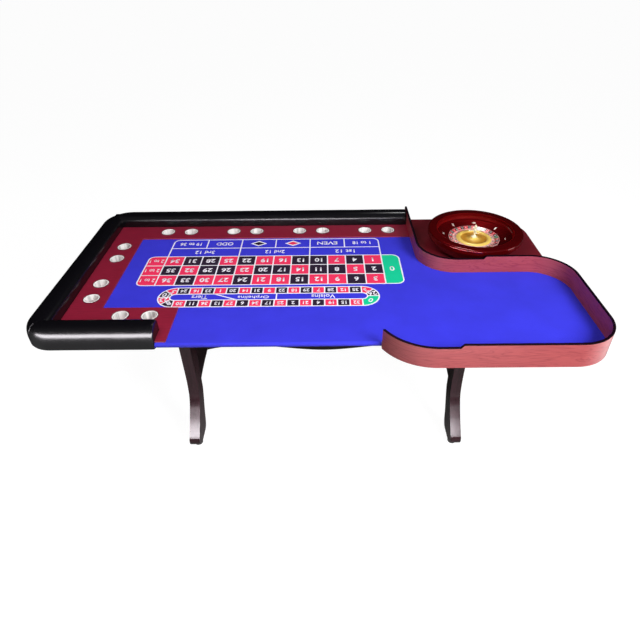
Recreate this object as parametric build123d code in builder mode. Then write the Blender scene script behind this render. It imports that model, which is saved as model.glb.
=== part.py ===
from build123d import *
from math import atan2, cos, degrees, radians, sin, sqrt
import os

os.makedirs("parts", exist_ok=True)

# Roulette table. Millimetres, floor at z = 0, +X towards the wheel end, +Y towards the players.

# Overall size and deck
HALF_LENGTH = 1368.0
HALF_DEPTH = 735.0
FELT_TOP = 840.0
FELT_THICK = 1.0
FOAM_THICK = 2.0
DECK_THICK = 24.0
DECK_TOP = FELT_TOP - FELT_THICK - FOAM_THICK
DECK_BOTTOM = DECK_TOP - DECK_THICK
FRONT_EDGE = -585.0
PLATFORM_RIGHT = 1326.0
PLATFORM_CORNER = 220.0

# Padded rail
RAIL_WIDTH = 112.0
RAIL_TOP = FELT_TOP + 84.0
RAIL_ROUND = 40.0
RAIL_WRAP = 22.0
RAIL_INNER_LEFT = -HALF_LENGTH + RAIL_WIDTH
RAIL_INNER_BACK = HALF_DEPTH - RAIL_WIDTH
RAIL_INNER_FRONT = FRONT_EDGE + RAIL_WIDTH
RAIL_FRONT_END = -745.0
RAIL_BACK_END = 585.0
CORNER_BACK = 180.0
CORNER_FRONT = 125.0
CORNER_EASE = 2.0
CORE_WIDTH = 60.0
CORE_HEIGHT = 60.0
CORE_INSET = 26.0

# Nose along the dealer's edge
NOSE_RADIUS = (DECK_THICK + FOAM_THICK + FELT_THICK) / 2
NOSE_AXIS_Y = FRONT_EDGE + NOSE_RADIUS
NOSE_AXIS_Z = DECK_BOTTOM + NOSE_RADIUS
FELT_RETURN = 30.0

# Drink track, with the cups let into it
TRACK_TOP = FELT_TOP + 7.0
TRACK_INNER_LEFT = -1086.0
TRACK_INNER_BACK = 465.0
TRACK_FRONT_FAR = -295.0
TRACK_FRONT_END = -697.0
CUP_HOLE_RADIUS = 36.0
CUP_RADIUS = 35.0
CUP_WALL = 1.0
CUP_FLANGE_RADIUS = 41.0
CUP_FLANGE_THICK = 1.6
CUP_DEPTH = 62.0
CUP_PAIR_HALF = 73.5
CUP_ROW_BACK = 550.0
CUP_ROW_LEFT = -1169.0
CUP_ROW_FRONT = -364.0
CUP_PAIRS_BACK = (-871.0, -451.0, -31.0, 385.0)
CUP_PAIRS_LEFT = (-134.0, 286.0)
CUP_PAIR_FRONT = -896.0

# Bent plywood fence: its path is given on the centre line of the board
FENCE_THICK = 12.0
FENCE_HALF = FENCE_THICK / 2
FENCE_LOW = FELT_TOP + 84.0
FENCE_HIGH = FELT_TOP + 101.0
EDGE_BAND = 3.0
BEND = 196.0
BEND_FRONT = 272.0
FENCE_LEFT_X = 591.0
FENCE_SHELF_Y = 39.0
FENCE_RIGHT_X = HALF_LENGTH - FENCE_HALF
FENCE_FRONT_Y = -HALF_DEPTH + FENCE_HALF
FENCE_FRONT_BEND_X = 555.0
FENCE_END_ANGLE = 60.0
STEP_SHELF_X = 926.0
STEP_FRONT_X = 637.0
STEP_RUN = 15.0

# Trestles
TRESTLES = (-686.0, 779.0)
LEG_THICK = 57.0
BASE_CENTRE_Y = 21.0
GLIDE_RADIUS = 24.0
GLIDE_HEIGHT = 26.0
GLIDE_Y = -449.0
BEARER_HEIGHT = 45.0
BEARER_BOTTOM = DECK_BOTTOM - BEARER_HEIGHT
PANEL_THICK = 22.0
PANEL_BOTTOM = 268.0
PANEL_ARCH = 42.0
STRETCHER_THICK = 22.0
STRETCHER_TOP = 515.0
STRETCHER_BOTTOM = 315.0

# Roulette wheel
WHEEL_X = 947.0
WHEEL_Y = 336.0
BOWL_RADIUS = 275.0
POCKETS = 37

deck_plane = Plane.XY.offset(DECK_BOTTOM)


def arc_point(centre, radius, angle):
    """Point on a circle, angle in degrees from +X."""
    return (
        centre[0] + radius * cos(radians(angle)),
        centre[1] + radius * sin(radians(angle)),
    )


# Bend centres of the fence
bend_shelf = (FENCE_LEFT_X + BEND, FENCE_SHELF_Y + BEND)
bend_right = (FENCE_RIGHT_X - BEND, FENCE_SHELF_Y - BEND)
bend_bay = (FENCE_RIGHT_X - BEND, FENCE_FRONT_Y + BEND)
bend_front = (FENCE_FRONT_BEND_X, FENCE_FRONT_Y + BEND_FRONT)

# Where the fence's play-side face crosses the dealer's edge and the platform's right edge
inner_front = BEND_FRONT - FENCE_HALF
inner_bay = BEND - FENCE_HALF
outer_bay = BEND + FENCE_HALF
nose_cross = bend_front[0] - sqrt(inner_front**2 - (FRONT_EDGE - bend_front[1]) ** 2)
nose_end = bend_front[0] - sqrt(inner_front**2 - (NOSE_AXIS_Y - bend_front[1]) ** 2)
angle_nose_cross = 180 + degrees(atan2(bend_front[1] - FRONT_EDGE, bend_front[0] - nose_cross))
deck_cross = sqrt(inner_bay**2 - (PLATFORM_RIGHT - bend_right[0]) ** 2)
angle_deck_cross = degrees(atan2(deck_cross, PLATFORM_RIGHT - bend_right[0]))
shelf_cross = sqrt(outer_bay**2 - (PLATFORM_RIGHT - bend_right[0]) ** 2)
angle_shelf_cross = degrees(atan2(shelf_cross, PLATFORM_RIGHT - bend_right[0]))


def cup_centres():
    """All cup positions, back row first, then the left row, then the front pair."""
    centres = []
    for pair_x in CUP_PAIRS_BACK:
        centres.append((pair_x - CUP_PAIR_HALF, CUP_ROW_BACK))
        centres.append((pair_x + CUP_PAIR_HALF, CUP_ROW_BACK))
    for pair_y in CUP_PAIRS_LEFT:
        centres.append((CUP_ROW_LEFT, pair_y - CUP_PAIR_HALF))
        centres.append((CUP_ROW_LEFT, pair_y + CUP_PAIR_HALF))
    centres.append((CUP_PAIR_FRONT - CUP_PAIR_HALF, CUP_ROW_FRONT))
    centres.append((CUP_PAIR_FRONT + CUP_PAIR_HALF, CUP_ROW_FRONT))
    return centres


# ---------------------------------------------------------------- deck board
deck_left = -HALF_LENGTH + RAIL_WRAP
deck_back = HALF_DEPTH - RAIL_WRAP
deck_front_left = FRONT_EDGE + RAIL_WRAP
back_corner = (-HALF_LENGTH + CORNER_BACK, HALF_DEPTH - CORNER_BACK)
platform_corner = (PLATFORM_RIGHT - PLATFORM_CORNER, deck_back - PLATFORM_CORNER)
front_corner = (-HALF_LENGTH + CORNER_FRONT, FRONT_EDGE + CORNER_FRONT)

with BuildPart() as deck_board:
    with BuildSketch(deck_plane):
        with BuildLine():
            Line((back_corner[0], deck_back), (platform_corner[0], deck_back))
            CenterArc(platform_corner, PLATFORM_CORNER, 90, -90)
            Line((PLATFORM_RIGHT, platform_corner[1]), (PLATFORM_RIGHT, bend_right[1] + deck_cross))
            CenterArc(bend_right, inner_bay, angle_deck_cross, -angle_deck_cross)
            Line((bend_right[0] + inner_bay, bend_right[1]), (bend_bay[0] + inner_bay, bend_bay[1]))
            CenterArc(bend_bay, inner_bay, 0, -90)
            Line((bend_bay[0], bend_bay[1] - inner_bay), (bend_front[0], bend_front[1] - inner_front))
            CenterArc(bend_front, inner_front, 270, angle_nose_cross - 270)
            Line((nose_cross, FRONT_EDGE), (nose_end, FRONT_EDGE))
            Line((nose_end, FRONT_EDGE), (nose_end, NOSE_AXIS_Y))
            Line((nose_end, NOSE_AXIS_Y), (RAIL_FRONT_END, NOSE_AXIS_Y))
            Line((RAIL_FRONT_END, NOSE_AXIS_Y), (RAIL_FRONT_END, deck_front_left))
            Line((RAIL_FRONT_END, deck_front_left), (front_corner[0], deck_front_left))
            CenterArc(front_corner, CORNER_FRONT - RAIL_WRAP, 270, -90)
            Line((deck_left, front_corner[1]), (deck_left, back_corner[1]))
            CenterArc(back_corner, CORNER_BACK - RAIL_WRAP, 180, -90)
        make_face()
        with Locations(*cup_centres()):
            Circle(CUP_HOLE_RADIUS, mode=Mode.SUBTRACT)
    extrude(amount=DECK_THICK)
deck_board.part.label = "deck_board"
export_step(deck_board.part, "parts/deck_board.step")

# ------------------------------------------------- laminate top under the wheel
with BuildPart() as wheel_platform:
    with BuildSketch(Plane.XY.offset(DECK_TOP)):
        with BuildLine():
            Line((FENCE_LEFT_X + FENCE_HALF, deck_back), (platform_corner[0], deck_back))
            CenterArc(platform_corner, PLATFORM_CORNER, 90, -90)
            Line((PLATFORM_RIGHT, platform_corner[1]), (PLATFORM_RIGHT, bend_right[1] + shelf_cross))
            CenterArc(bend_right, outer_bay, angle_shelf_cross, 90 - angle_shelf_cross)
            Line((bend_right[0], bend_right[1] + outer_bay), (bend_shelf[0], bend_shelf[1] - inner_bay))
            CenterArc(bend_shelf, inner_bay, 270, -90)
            Line((bend_shelf[0] - inner_bay, bend_shelf[1]), (FENCE_LEFT_X + FENCE_HALF, deck_back))
        make_face()
    extrude(amount=FOAM_THICK + FELT_THICK)
wheel_platform.part.label = "wheel_platform"
export_step(wheel_platform.part, "parts/wheel_platform.step")


def playing_outline():
    """Outline of the cloth between the drink track, the fence and the dealer's edge."""
    Line((TRACK_INNER_LEFT, TRACK_INNER_BACK), (RAIL_BACK_END, TRACK_INNER_BACK))
    Line((RAIL_BACK_END, TRACK_INNER_BACK), (RAIL_BACK_END, bend_shelf[1]))
    CenterArc(bend_shelf, outer_bay, 180, 90)
    Line((bend_shelf[0], bend_shelf[1] - outer_bay), (bend_right[0], bend_right[1] + inner_bay))
    CenterArc(bend_right, inner_bay, 90, -90)
    Line((bend_right[0] + inner_bay, bend_right[1]), (bend_bay[0] + inner_bay, bend_bay[1]))
    CenterArc(bend_bay, inner_bay, 0, -90)
    Line((bend_bay[0], bend_bay[1] - inner_bay), (bend_front[0], bend_front[1] - inner_front))
    CenterArc(bend_front, inner_front, 270, angle_nose_cross - 270)
    Line((nose_cross, FRONT_EDGE), (nose_end, FRONT_EDGE))
    Line((nose_end, FRONT_EDGE), (nose_end, NOSE_AXIS_Y))
    Line((nose_end, NOSE_AXIS_Y), (TRACK_FRONT_END, NOSE_AXIS_Y))
    Line((TRACK_FRONT_END, NOSE_AXIS_Y), (TRACK_FRONT_END, TRACK_FRONT_FAR))
    Line((TRACK_FRONT_END, TRACK_FRONT_FAR), (TRACK_INNER_LEFT, TRACK_FRONT_FAR))
    Line((TRACK_INNER_LEFT, TRACK_FRONT_FAR), (TRACK_INNER_LEFT, TRACK_INNER_BACK))


# ------------------------------------------------- foam, cloth and nose moulding
with BuildPart() as foam_underlay:
    with BuildSketch(Plane.XY.offset(DECK_TOP)):
        with BuildLine():
            playing_outline()
        make_face()
    extrude(amount=FOAM_THICK)
foam_underlay.part.label = "foam_underlay"
export_step(foam_underlay.part, "parts/foam_underlay.step")

with BuildPart() as nose_moulding:
    with BuildSketch(Plane.YZ.offset(RAIL_FRONT_END)):
        with Locations((NOSE_AXIS_Y, NOSE_AXIS_Z)):
            Circle(NOSE_RADIUS - FELT_THICK)
            Rectangle(
                2 * NOSE_RADIUS, 2 * NOSE_RADIUS, align=(Align.MIN, Align.CENTER), mode=Mode.SUBTRACT
            )
    extrude(amount=nose_end - RAIL_FRONT_END)
nose_moulding.part.label = "nose_moulding"
export_step(nose_moulding.part, "parts/nose_moulding.step")

with BuildPart() as felt_cloth:
    with BuildSketch(Plane.XY.offset(FELT_TOP - FELT_THICK)):
        with BuildLine():
            playing_outline()
        make_face()
    extrude(amount=FELT_THICK)
    with BuildSketch(Plane.YZ.offset(RAIL_FRONT_END)):
        with Locations((NOSE_AXIS_Y, NOSE_AXIS_Z)):
            Circle(NOSE_RADIUS)
            Circle(NOSE_RADIUS - FELT_THICK, mode=Mode.SUBTRACT)
            Rectangle(
                2 * NOSE_RADIUS, 2 * NOSE_RADIUS, align=(Align.MIN, Align.CENTER), mode=Mode.SUBTRACT
            )
        with Locations((NOSE_AXIS_Y, DECK_BOTTOM - FELT_THICK)):
            Rectangle(FELT_RETURN, FELT_THICK, align=(Align.MIN, Align.MIN))
        with Locations((NOSE_AXIS_Y, DECK_BOTTOM - FELT_THICK)):
            Rectangle(FELT_THICK, 2 * FELT_THICK, align=(Align.MAX, Align.MIN))
    extrude(amount=nose_end - RAIL_FRONT_END)
felt_cloth.part.label = "felt_cloth"
export_step(felt_cloth.part, "parts/felt_cloth.step")

# ---------------------------------------------------------------- drink track
with BuildPart() as track_board:
    with BuildSketch(Plane.XY.offset(DECK_TOP)):
        with BuildLine():
            Polyline(
                (RAIL_INNER_LEFT, RAIL_INNER_BACK),
                (RAIL_BACK_END, RAIL_INNER_BACK),
                (RAIL_BACK_END, TRACK_INNER_BACK),
                (TRACK_INNER_LEFT, TRACK_INNER_BACK),
                (TRACK_INNER_LEFT, TRACK_FRONT_FAR),
                (TRACK_FRONT_END, TRACK_FRONT_FAR),
                (TRACK_FRONT_END, NOSE_AXIS_Y),
                (RAIL_FRONT_END, NOSE_AXIS_Y),
                (RAIL_FRONT_END, RAIL_INNER_FRONT),
                (RAIL_INNER_LEFT, RAIL_INNER_FRONT),
                close=True,
            )
        make_face()
        with Locations(*cup_centres()):
            Circle(CUP_HOLE_RADIUS, mode=Mode.SUBTRACT)
    extrude(amount=TRACK_TOP - DECK_TOP)
track_board.part.label = "track_board"
export_step(track_board.part, "parts/track_board.step")

# ------------------------------------------------------------------ steel cups
for number, centre in enumerate(cup_centres(), start=1):
    cup_name = f"steel_cup_{number:02d}"
    with BuildPart() as steel_cup:
        with BuildSketch(Plane.XZ):
            with BuildLine():
                Polyline(
                    (0, TRACK_TOP - CUP_DEPTH),
                    (CUP_RADIUS - 6, TRACK_TOP - CUP_DEPTH),
                    (CUP_RADIUS - 2, TRACK_TOP - CUP_DEPTH + 5),
                    (CUP_RADIUS, TRACK_TOP - CUP_FLANGE_THICK),
                    (CUP_RADIUS, TRACK_TOP),
                    (CUP_FLANGE_RADIUS, TRACK_TOP),
                    (CUP_FLANGE_RADIUS - 1, TRACK_TOP + CUP_FLANGE_THICK),
                    (CUP_RADIUS - CUP_WALL, TRACK_TOP + CUP_FLANGE_THICK),
                    (CUP_RADIUS - 2 - CUP_WALL, TRACK_TOP - CUP_DEPTH + 6),
                    (CUP_RADIUS - 6 - CUP_WALL, TRACK_TOP - CUP_DEPTH + CUP_WALL),
                    (0, TRACK_TOP - CUP_DEPTH + CUP_WALL),
                    close=True,
                )
            make_face()
        revolve(axis=Axis.Z)
    steel_cup.part.position = (centre[0], centre[1], 0)
    steel_cup.part.label = cup_name
    export_step(steel_cup.part, f"parts/{cup_name}.step")

# ----------------------------------------------------------------- padded rail
core_back_y = RAIL_INNER_BACK + CORE_INSET + CORE_WIDTH / 2
core_left_x = RAIL_INNER_LEFT - CORE_INSET - CORE_WIDTH / 2
core_front_y = RAIL_INNER_FRONT - CORE_INSET - CORE_WIDTH / 2

with BuildPart(Plane.XY.offset(DECK_TOP)) as rail_core_back:
    with Locations(((back_corner[0] + RAIL_BACK_END) / 2, core_back_y)):
        Box(
            RAIL_BACK_END - back_corner[0],
            CORE_WIDTH,
            CORE_HEIGHT,
            align=(Align.CENTER, Align.CENTER, Align.MIN),
        )
rail_core_back.part.label = "rail_core_back"
export_step(rail_core_back.part, "parts/rail_core_back.step")

with BuildPart(Plane.XY.offset(DECK_TOP)) as rail_core_left:
    with Locations((core_left_x, (back_corner[1] + front_corner[1]) / 2)):
        Box(
            CORE_WIDTH,
            back_corner[1] - front_corner[1],
            CORE_HEIGHT,
            align=(Align.CENTER, Align.CENTER, Align.MIN),
        )
rail_core_left.part.label = "rail_core_left"
export_step(rail_core_left.part, "parts/rail_core_left.step")

with BuildPart(Plane.XY.offset(DECK_TOP)) as rail_core_front:
    with Locations(((front_corner[0] + RAIL_FRONT_END - CORE_INSET) / 2, core_front_y)):
        Box(
            RAIL_FRONT_END - CORE_INSET - front_corner[0],
            CORE_WIDTH,
            CORE_HEIGHT,
            align=(Align.CENTER, Align.CENTER, Align.MIN),
        )
rail_core_front.part.label = "rail_core_front"
export_step(rail_core_front.part, "parts/rail_core_front.step")


# The corner arcs stand this much outside the straight faces, so they cross them cleanly
cut_back = CORNER_BACK + CORNER_EASE
cut_front = CORNER_FRONT + CORNER_EASE


def rail_profile(inner, outer):
    """Cross-section of the padded rail: upright sides and a well-rounded top."""
    with Locations(((inner + outer) / 2, DECK_BOTTOM)):
        Rectangle(RAIL_WIDTH, RAIL_TOP - DECK_BOTTOM, align=(Align.CENTER, Align.MIN))
    fillet(rail_sketch.vertices().group_by(Axis.Y)[-1], RAIL_ROUND)


with BuildPart() as rail_pad_back:
    with BuildSketch(Plane.YZ.offset(RAIL_BACK_END)) as rail_sketch:
        rail_profile(RAIL_INNER_BACK, HALF_DEPTH)
    extrude(amount=-(RAIL_BACK_END + HALF_LENGTH))
    with BuildSketch(deck_plane):
        with BuildLine():
            Line((RAIL_BACK_END, RAIL_INNER_BACK), (RAIL_BACK_END, HALF_DEPTH + CORNER_EASE))
            Line((RAIL_BACK_END, HALF_DEPTH + CORNER_EASE), (back_corner[0], HALF_DEPTH + CORNER_EASE))
            CenterArc(back_corner, cut_back, 90, 45)
            Line(arc_point(back_corner, cut_back, 135), (RAIL_INNER_LEFT, RAIL_INNER_BACK))
            Line((RAIL_INNER_LEFT, RAIL_INNER_BACK), (RAIL_BACK_END, RAIL_INNER_BACK))
        make_face()
    extrude(amount=RAIL_TOP, mode=Mode.INTERSECT)
    add(rail_core_back.part, mode=Mode.SUBTRACT)
    add(deck_board.part, mode=Mode.SUBTRACT)
rail_pad_back.part.label = "rail_pad_back"
export_step(rail_pad_back.part, "parts/rail_pad_back.step")

with BuildPart() as rail_pad_left:
    with BuildSketch(Plane.XZ.offset(-HALF_DEPTH)) as rail_sketch:
        rail_profile(RAIL_INNER_LEFT, -HALF_LENGTH)
    extrude(amount=HALF_DEPTH - FRONT_EDGE)
    with BuildSketch(deck_plane):
        with BuildLine():
            Line((RAIL_INNER_LEFT, RAIL_INNER_BACK), arc_point(back_corner, cut_back, 135))
            CenterArc(back_corner, cut_back, 135, 45)
            Line((-HALF_LENGTH - CORNER_EASE, back_corner[1]), (-HALF_LENGTH - CORNER_EASE, front_corner[1]))
            CenterArc(front_corner, cut_front, 180, 45)
            Line(arc_point(front_corner, cut_front, 225), (RAIL_INNER_LEFT, RAIL_INNER_FRONT))
            Line((RAIL_INNER_LEFT, RAIL_INNER_FRONT), (RAIL_INNER_LEFT, RAIL_INNER_BACK))
        make_face()
    extrude(amount=RAIL_TOP, mode=Mode.INTERSECT)
    add(rail_core_left.part, mode=Mode.SUBTRACT)
    add(deck_board.part, mode=Mode.SUBTRACT)
rail_pad_left.part.label = "rail_pad_left"
export_step(rail_pad_left.part, "parts/rail_pad_left.step")

with BuildPart() as rail_pad_front:
    with BuildSketch(Plane.YZ.offset(RAIL_FRONT_END)) as rail_sketch:
        rail_profile(RAIL_INNER_FRONT, FRONT_EDGE)
    extrude(amount=-(RAIL_FRONT_END + HALF_LENGTH))
    with BuildSketch(deck_plane):
        with BuildLine():
            Line((RAIL_INNER_LEFT, RAIL_INNER_FRONT), arc_point(front_corner, cut_front, 225))
            CenterArc(front_corner, cut_front, 225, 45)
            Line((front_corner[0], FRONT_EDGE - CORNER_EASE), (RAIL_FRONT_END, FRONT_EDGE - CORNER_EASE))
            Line((RAIL_FRONT_END, FRONT_EDGE - CORNER_EASE), (RAIL_FRONT_END, RAIL_INNER_FRONT))
            Line((RAIL_FRONT_END, RAIL_INNER_FRONT), (RAIL_INNER_LEFT, RAIL_INNER_FRONT))
        make_face()
    extrude(amount=RAIL_TOP, mode=Mode.INTERSECT)
    add(rail_core_front.part, mode=Mode.SUBTRACT)
    add(deck_board.part, mode=Mode.SUBTRACT)
rail_pad_front.part.label = "rail_pad_front"
export_step(rail_pad_front.part, "parts/rail_pad_front.step")

# ----------------------------------------------------------------------- fence
shelf_near = FENCE_SHELF_Y - FENCE_HALF
shelf_far = FENCE_SHELF_Y + FENCE_HALF
bay_near = FENCE_FRONT_Y - FENCE_HALF
bay_far = FENCE_FRONT_Y + FENCE_HALF
outer_front = BEND_FRONT + FENCE_HALF
front_end_angle = 270 - FENCE_END_ANGLE


def strip_back():
    """Plan of the low fence board from the back edge, round the shelf bend, to the step."""
    Line((FENCE_LEFT_X - FENCE_HALF, HALF_DEPTH), (FENCE_LEFT_X - FENCE_HALF, bend_shelf[1]))
    CenterArc(bend_shelf, outer_bay, 180, 90)
    Line((bend_shelf[0], shelf_near), (STEP_SHELF_X, shelf_near))
    Line((STEP_SHELF_X, shelf_near), (STEP_SHELF_X, shelf_far))
    Line((STEP_SHELF_X, shelf_far), (bend_shelf[0], shelf_far))
    CenterArc(bend_shelf, inner_bay, 270, -90)
    Line((FENCE_LEFT_X + FENCE_HALF, bend_shelf[1]), (FENCE_LEFT_X + FENCE_HALF, HALF_DEPTH))
    Line((FENCE_LEFT_X + FENCE_HALF, HALF_DEPTH), (FENCE_LEFT_X - FENCE_HALF, HALF_DEPTH))


def strip_bay():
    """Plan of the high fence board round the chip bay, between the two steps."""
    right = HALF_LENGTH - FENCE_THICK
    Line((STEP_SHELF_X, shelf_far), (bend_right[0], shelf_far))
    CenterArc(bend_right, outer_bay, 90, -90)
    Line((HALF_LENGTH, bend_right[1]), (HALF_LENGTH, bend_bay[1]))
    CenterArc(bend_bay, outer_bay, 0, -90)
    Line((bend_bay[0], bay_near), (STEP_FRONT_X, bay_near))
    Line((STEP_FRONT_X, bay_near), (STEP_FRONT_X, bay_far))
    Line((STEP_FRONT_X, bay_far), (bend_bay[0], bay_far))
    CenterArc(bend_bay, inner_bay, 270, 90)
    Line((right, bend_bay[1]), (right, bend_right[1]))
    CenterArc(bend_right, inner_bay, 0, 90)
    Line((bend_right[0], shelf_near), (STEP_SHELF_X, shelf_near))
    Line((STEP_SHELF_X, shelf_near), (STEP_SHELF_X, shelf_far))


def strip_front():
    """Plan of the low fence board that curls in to the dealer's edge."""
    Line((STEP_FRONT_X, bay_far), (bend_front[0], bay_far))
    CenterArc(bend_front, inner_front, 270, -FENCE_END_ANGLE)
    Line(
        arc_point(bend_front, inner_front, front_end_angle),
        arc_point(bend_front, outer_front, front_end_angle),
    )
    CenterArc(bend_front, outer_front, front_end_angle, FENCE_END_ANGLE)
    Line((bend_front[0], bay_near), (STEP_FRONT_X, bay_near))
    Line((STEP_FRONT_X, bay_near), (STEP_FRONT_X, bay_far))


low_board = FENCE_LOW - EDGE_BAND
high_board = FENCE_HIGH - EDGE_BAND

with BuildPart() as fence_back:
    with BuildSketch(deck_plane):
        with BuildLine():
            strip_back()
        make_face()
    extrude(amount=low_board - DECK_BOTTOM)
    add(deck_board.part, mode=Mode.SUBTRACT)
fence_back.part.label = "fence_back"
export_step(fence_back.part, "parts/fence_back.step")

with BuildPart() as fence_bay:
    with BuildSketch(deck_plane):
        with BuildLine():
            strip_bay()
        make_face()
    extrude(amount=high_board - DECK_BOTTOM)
    for step_x, wall_y in ((STEP_SHELF_X, FENCE_SHELF_Y), (STEP_FRONT_X, FENCE_FRONT_Y)):
        with BuildSketch(Plane.XZ.offset(-(wall_y + FENCE_THICK))):
            with BuildLine():
                Polyline(
                    (step_x, low_board),
                    (step_x + STEP_RUN, high_board),
                    (step_x - 1, high_board + 1),
                    (step_x - 1, low_board),
                    close=True,
                )
            make_face()
        extrude(amount=2 * FENCE_THICK, mode=Mode.SUBTRACT)
    add(deck_board.part, mode=Mode.SUBTRACT)
fence_bay.part.label = "fence_bay"
export_step(fence_bay.part, "parts/fence_bay.step")

with BuildPart() as fence_front:
    with BuildSketch(deck_plane):
        with BuildLine():
            strip_front()
        make_face()
    extrude(amount=low_board - DECK_BOTTOM)
fence_front.part.label = "fence_front"
export_step(fence_front.part, "parts/fence_front.step")

with BuildPart() as fence_edge_band:
    for strip, base in ((strip_back, low_board), (strip_front, low_board), (strip_bay, high_board)):
        with BuildSketch(Plane.XY.offset(base)):
            with BuildLine():
                strip()
            make_face()
        extrude(amount=EDGE_BAND)
    for step_x, wall_y in ((STEP_SHELF_X, FENCE_SHELF_Y), (STEP_FRONT_X, FENCE_FRONT_Y)):
        with BuildSketch(Plane.XZ.offset(-(wall_y + FENCE_THICK))):
            with BuildLine():
                Polyline(
                    (step_x - 1, high_board - 1),
                    (step_x - 1, high_board + EDGE_BAND + 1),
                    (step_x + STEP_RUN, high_board + EDGE_BAND + 1),
                    (step_x + STEP_RUN, high_board - 1),
                    close=True,
                )
            make_face()
        extrude(amount=2 * FENCE_THICK, mode=Mode.SUBTRACT)
        with BuildSketch(Plane.XZ.offset(-(wall_y + FENCE_HALF))):
            with BuildLine():
                Polyline(
                    (step_x, low_board),
                    (step_x + STEP_RUN, high_board),
                    (step_x + STEP_RUN, high_board + EDGE_BAND),
                    (step_x, low_board + EDGE_BAND),
                    close=True,
                )
            make_face()
        extrude(amount=FENCE_THICK)
fence_edge_band.part.label = "fence_edge_band"
export_step(fence_edge_band.part, "parts/fence_edge_band.step")

# -------------------------------------------------------------------- trestles
# Side outline of a leg: the front edge runs down to a toe that sweeps out to the dealer
leg_front_edge = [(-362, BEARER_BOTTOM), (-360, 630), (-355, 490), (-353, 390), (-359, 315)]
leg_shin = [(-359, 315), (-374, 262), (-408, 210), (-441, 168), (-478, 127), (-504, 101)]
leg_toe = [(-504, 101), (-517, 78), (-512, 56), (-497, 38), (-474, GLIDE_HEIGHT)]
leg_heel = [(-384, GLIDE_HEIGHT), (-352, 37), (-337, 62), (-326, 100), (-290, 200), (-268, PANEL_BOTTOM)]
leg_back_top = (-242, BEARER_BOTTOM)
panel_meet = (-268, PANEL_BOTTOM)
panel_meet_far = (2 * BASE_CENTRE_Y - panel_meet[0], PANEL_BOTTOM)


def leg_outline(side):
    """Leg profile on the side plane; side is 1 for the dealer's leg, -1 for its mirror image."""

    def place(points):
        return [((y if side > 0 else 2 * BASE_CENTRE_Y - y), z) for y, z in points]

    Spline(*place(leg_front_edge))
    Spline(*place(leg_shin))
    Spline(*place(leg_toe))
    Line(place(leg_toe)[-1], place(leg_heel)[0])
    Spline(*place(leg_heel))
    Line(place([panel_meet])[0], place([leg_back_top])[0])
    Line(place([leg_back_top])[0], place(leg_front_edge)[0])


for trestle_name, trestle_x in zip(("left", "right"), TRESTLES):
    for leg_name, side in (("dealer", 1), ("player", -1)):
        with BuildPart() as leg:
            with BuildSketch(Plane.YZ.offset(trestle_x - LEG_THICK / 2)):
                with BuildLine():
                    leg_outline(side)
                make_face()
            extrude(amount=LEG_THICK)
        leg.part.label = f"leg_{trestle_name}_{leg_name}"
        export_step(leg.part, f"parts/leg_{trestle_name}_{leg_name}.step")

        glide_y = GLIDE_Y if side > 0 else 2 * BASE_CENTRE_Y - GLIDE_Y
        with BuildPart() as glide:
            with Locations((trestle_x, glide_y)):
                Cylinder(
                    GLIDE_RADIUS, GLIDE_HEIGHT, align=(Align.CENTER, Align.CENTER, Align.MIN)
                )
            fillet(glide.edges().group_by(Axis.Z)[0], 4)
        glide.part.label = f"glide_{trestle_name}_{leg_name}"
        export_step(glide.part, f"parts/glide_{trestle_name}_{leg_name}.step")

    with BuildPart() as end_panel:
        with BuildSketch(Plane.YZ.offset(trestle_x - PANEL_THICK / 2)):
            with BuildLine():
                Polyline(
                    panel_meet,
                    leg_back_top,
                    (2 * BASE_CENTRE_Y - leg_back_top[0], leg_back_top[1]),
                    panel_meet_far,
                )
                ThreePointArc(panel_meet, (BASE_CENTRE_Y, PANEL_BOTTOM + PANEL_ARCH), panel_meet_far)
            make_face()
        extrude(amount=PANEL_THICK)
    end_panel.part.label = f"end_panel_{trestle_name}"
    export_step(end_panel.part, f"parts/end_panel_{trestle_name}.step")

    with BuildPart() as bearer:
        with Locations((trestle_x, BASE_CENTRE_Y, BEARER_BOTTOM)):
            Box(
                LEG_THICK,
                2 * (BASE_CENTRE_Y - leg_front_edge[0][0]),
                BEARER_HEIGHT,
                align=(Align.CENTER, Align.CENTER, Align.MIN),
            )
    bearer.part.label = f"bearer_{trestle_name}"
    export_step(bearer.part, f"parts/bearer_{trestle_name}.step")

# Long stretcher with two shallow arches in its lower edge
stretcher_left = TRESTLES[0] + PANEL_THICK / 2
stretcher_right = TRESTLES[1] - PANEL_THICK / 2
stretcher_span = stretcher_right - stretcher_left
ARCH_RISE = 26.0
CENTRE_DROP = 8.0

with BuildPart() as stretcher:
    with BuildSketch(Plane.XZ.offset(-(BASE_CENTRE_Y + STRETCHER_THICK / 2))):
        with BuildLine():
            Spline(
                (stretcher_left, STRETCHER_BOTTOM),
                (stretcher_left + stretcher_span * 0.25, STRETCHER_BOTTOM + ARCH_RISE),
                (stretcher_left + stretcher_span * 0.5, STRETCHER_BOTTOM - CENTRE_DROP),
                (stretcher_left + stretcher_span * 0.75, STRETCHER_BOTTOM + ARCH_RISE),
                (stretcher_right, STRETCHER_BOTTOM),
            )
            Polyline(
                (stretcher_right, STRETCHER_BOTTOM),
                (stretcher_right, STRETCHER_TOP),
                (stretcher_left, STRETCHER_TOP),
                (stretcher_left, STRETCHER_BOTTOM),
            )
        make_face()
    extrude(amount=STRETCHER_THICK)
stretcher.part.label = "stretcher"
export_step(stretcher.part, "parts/stretcher.step")

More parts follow.
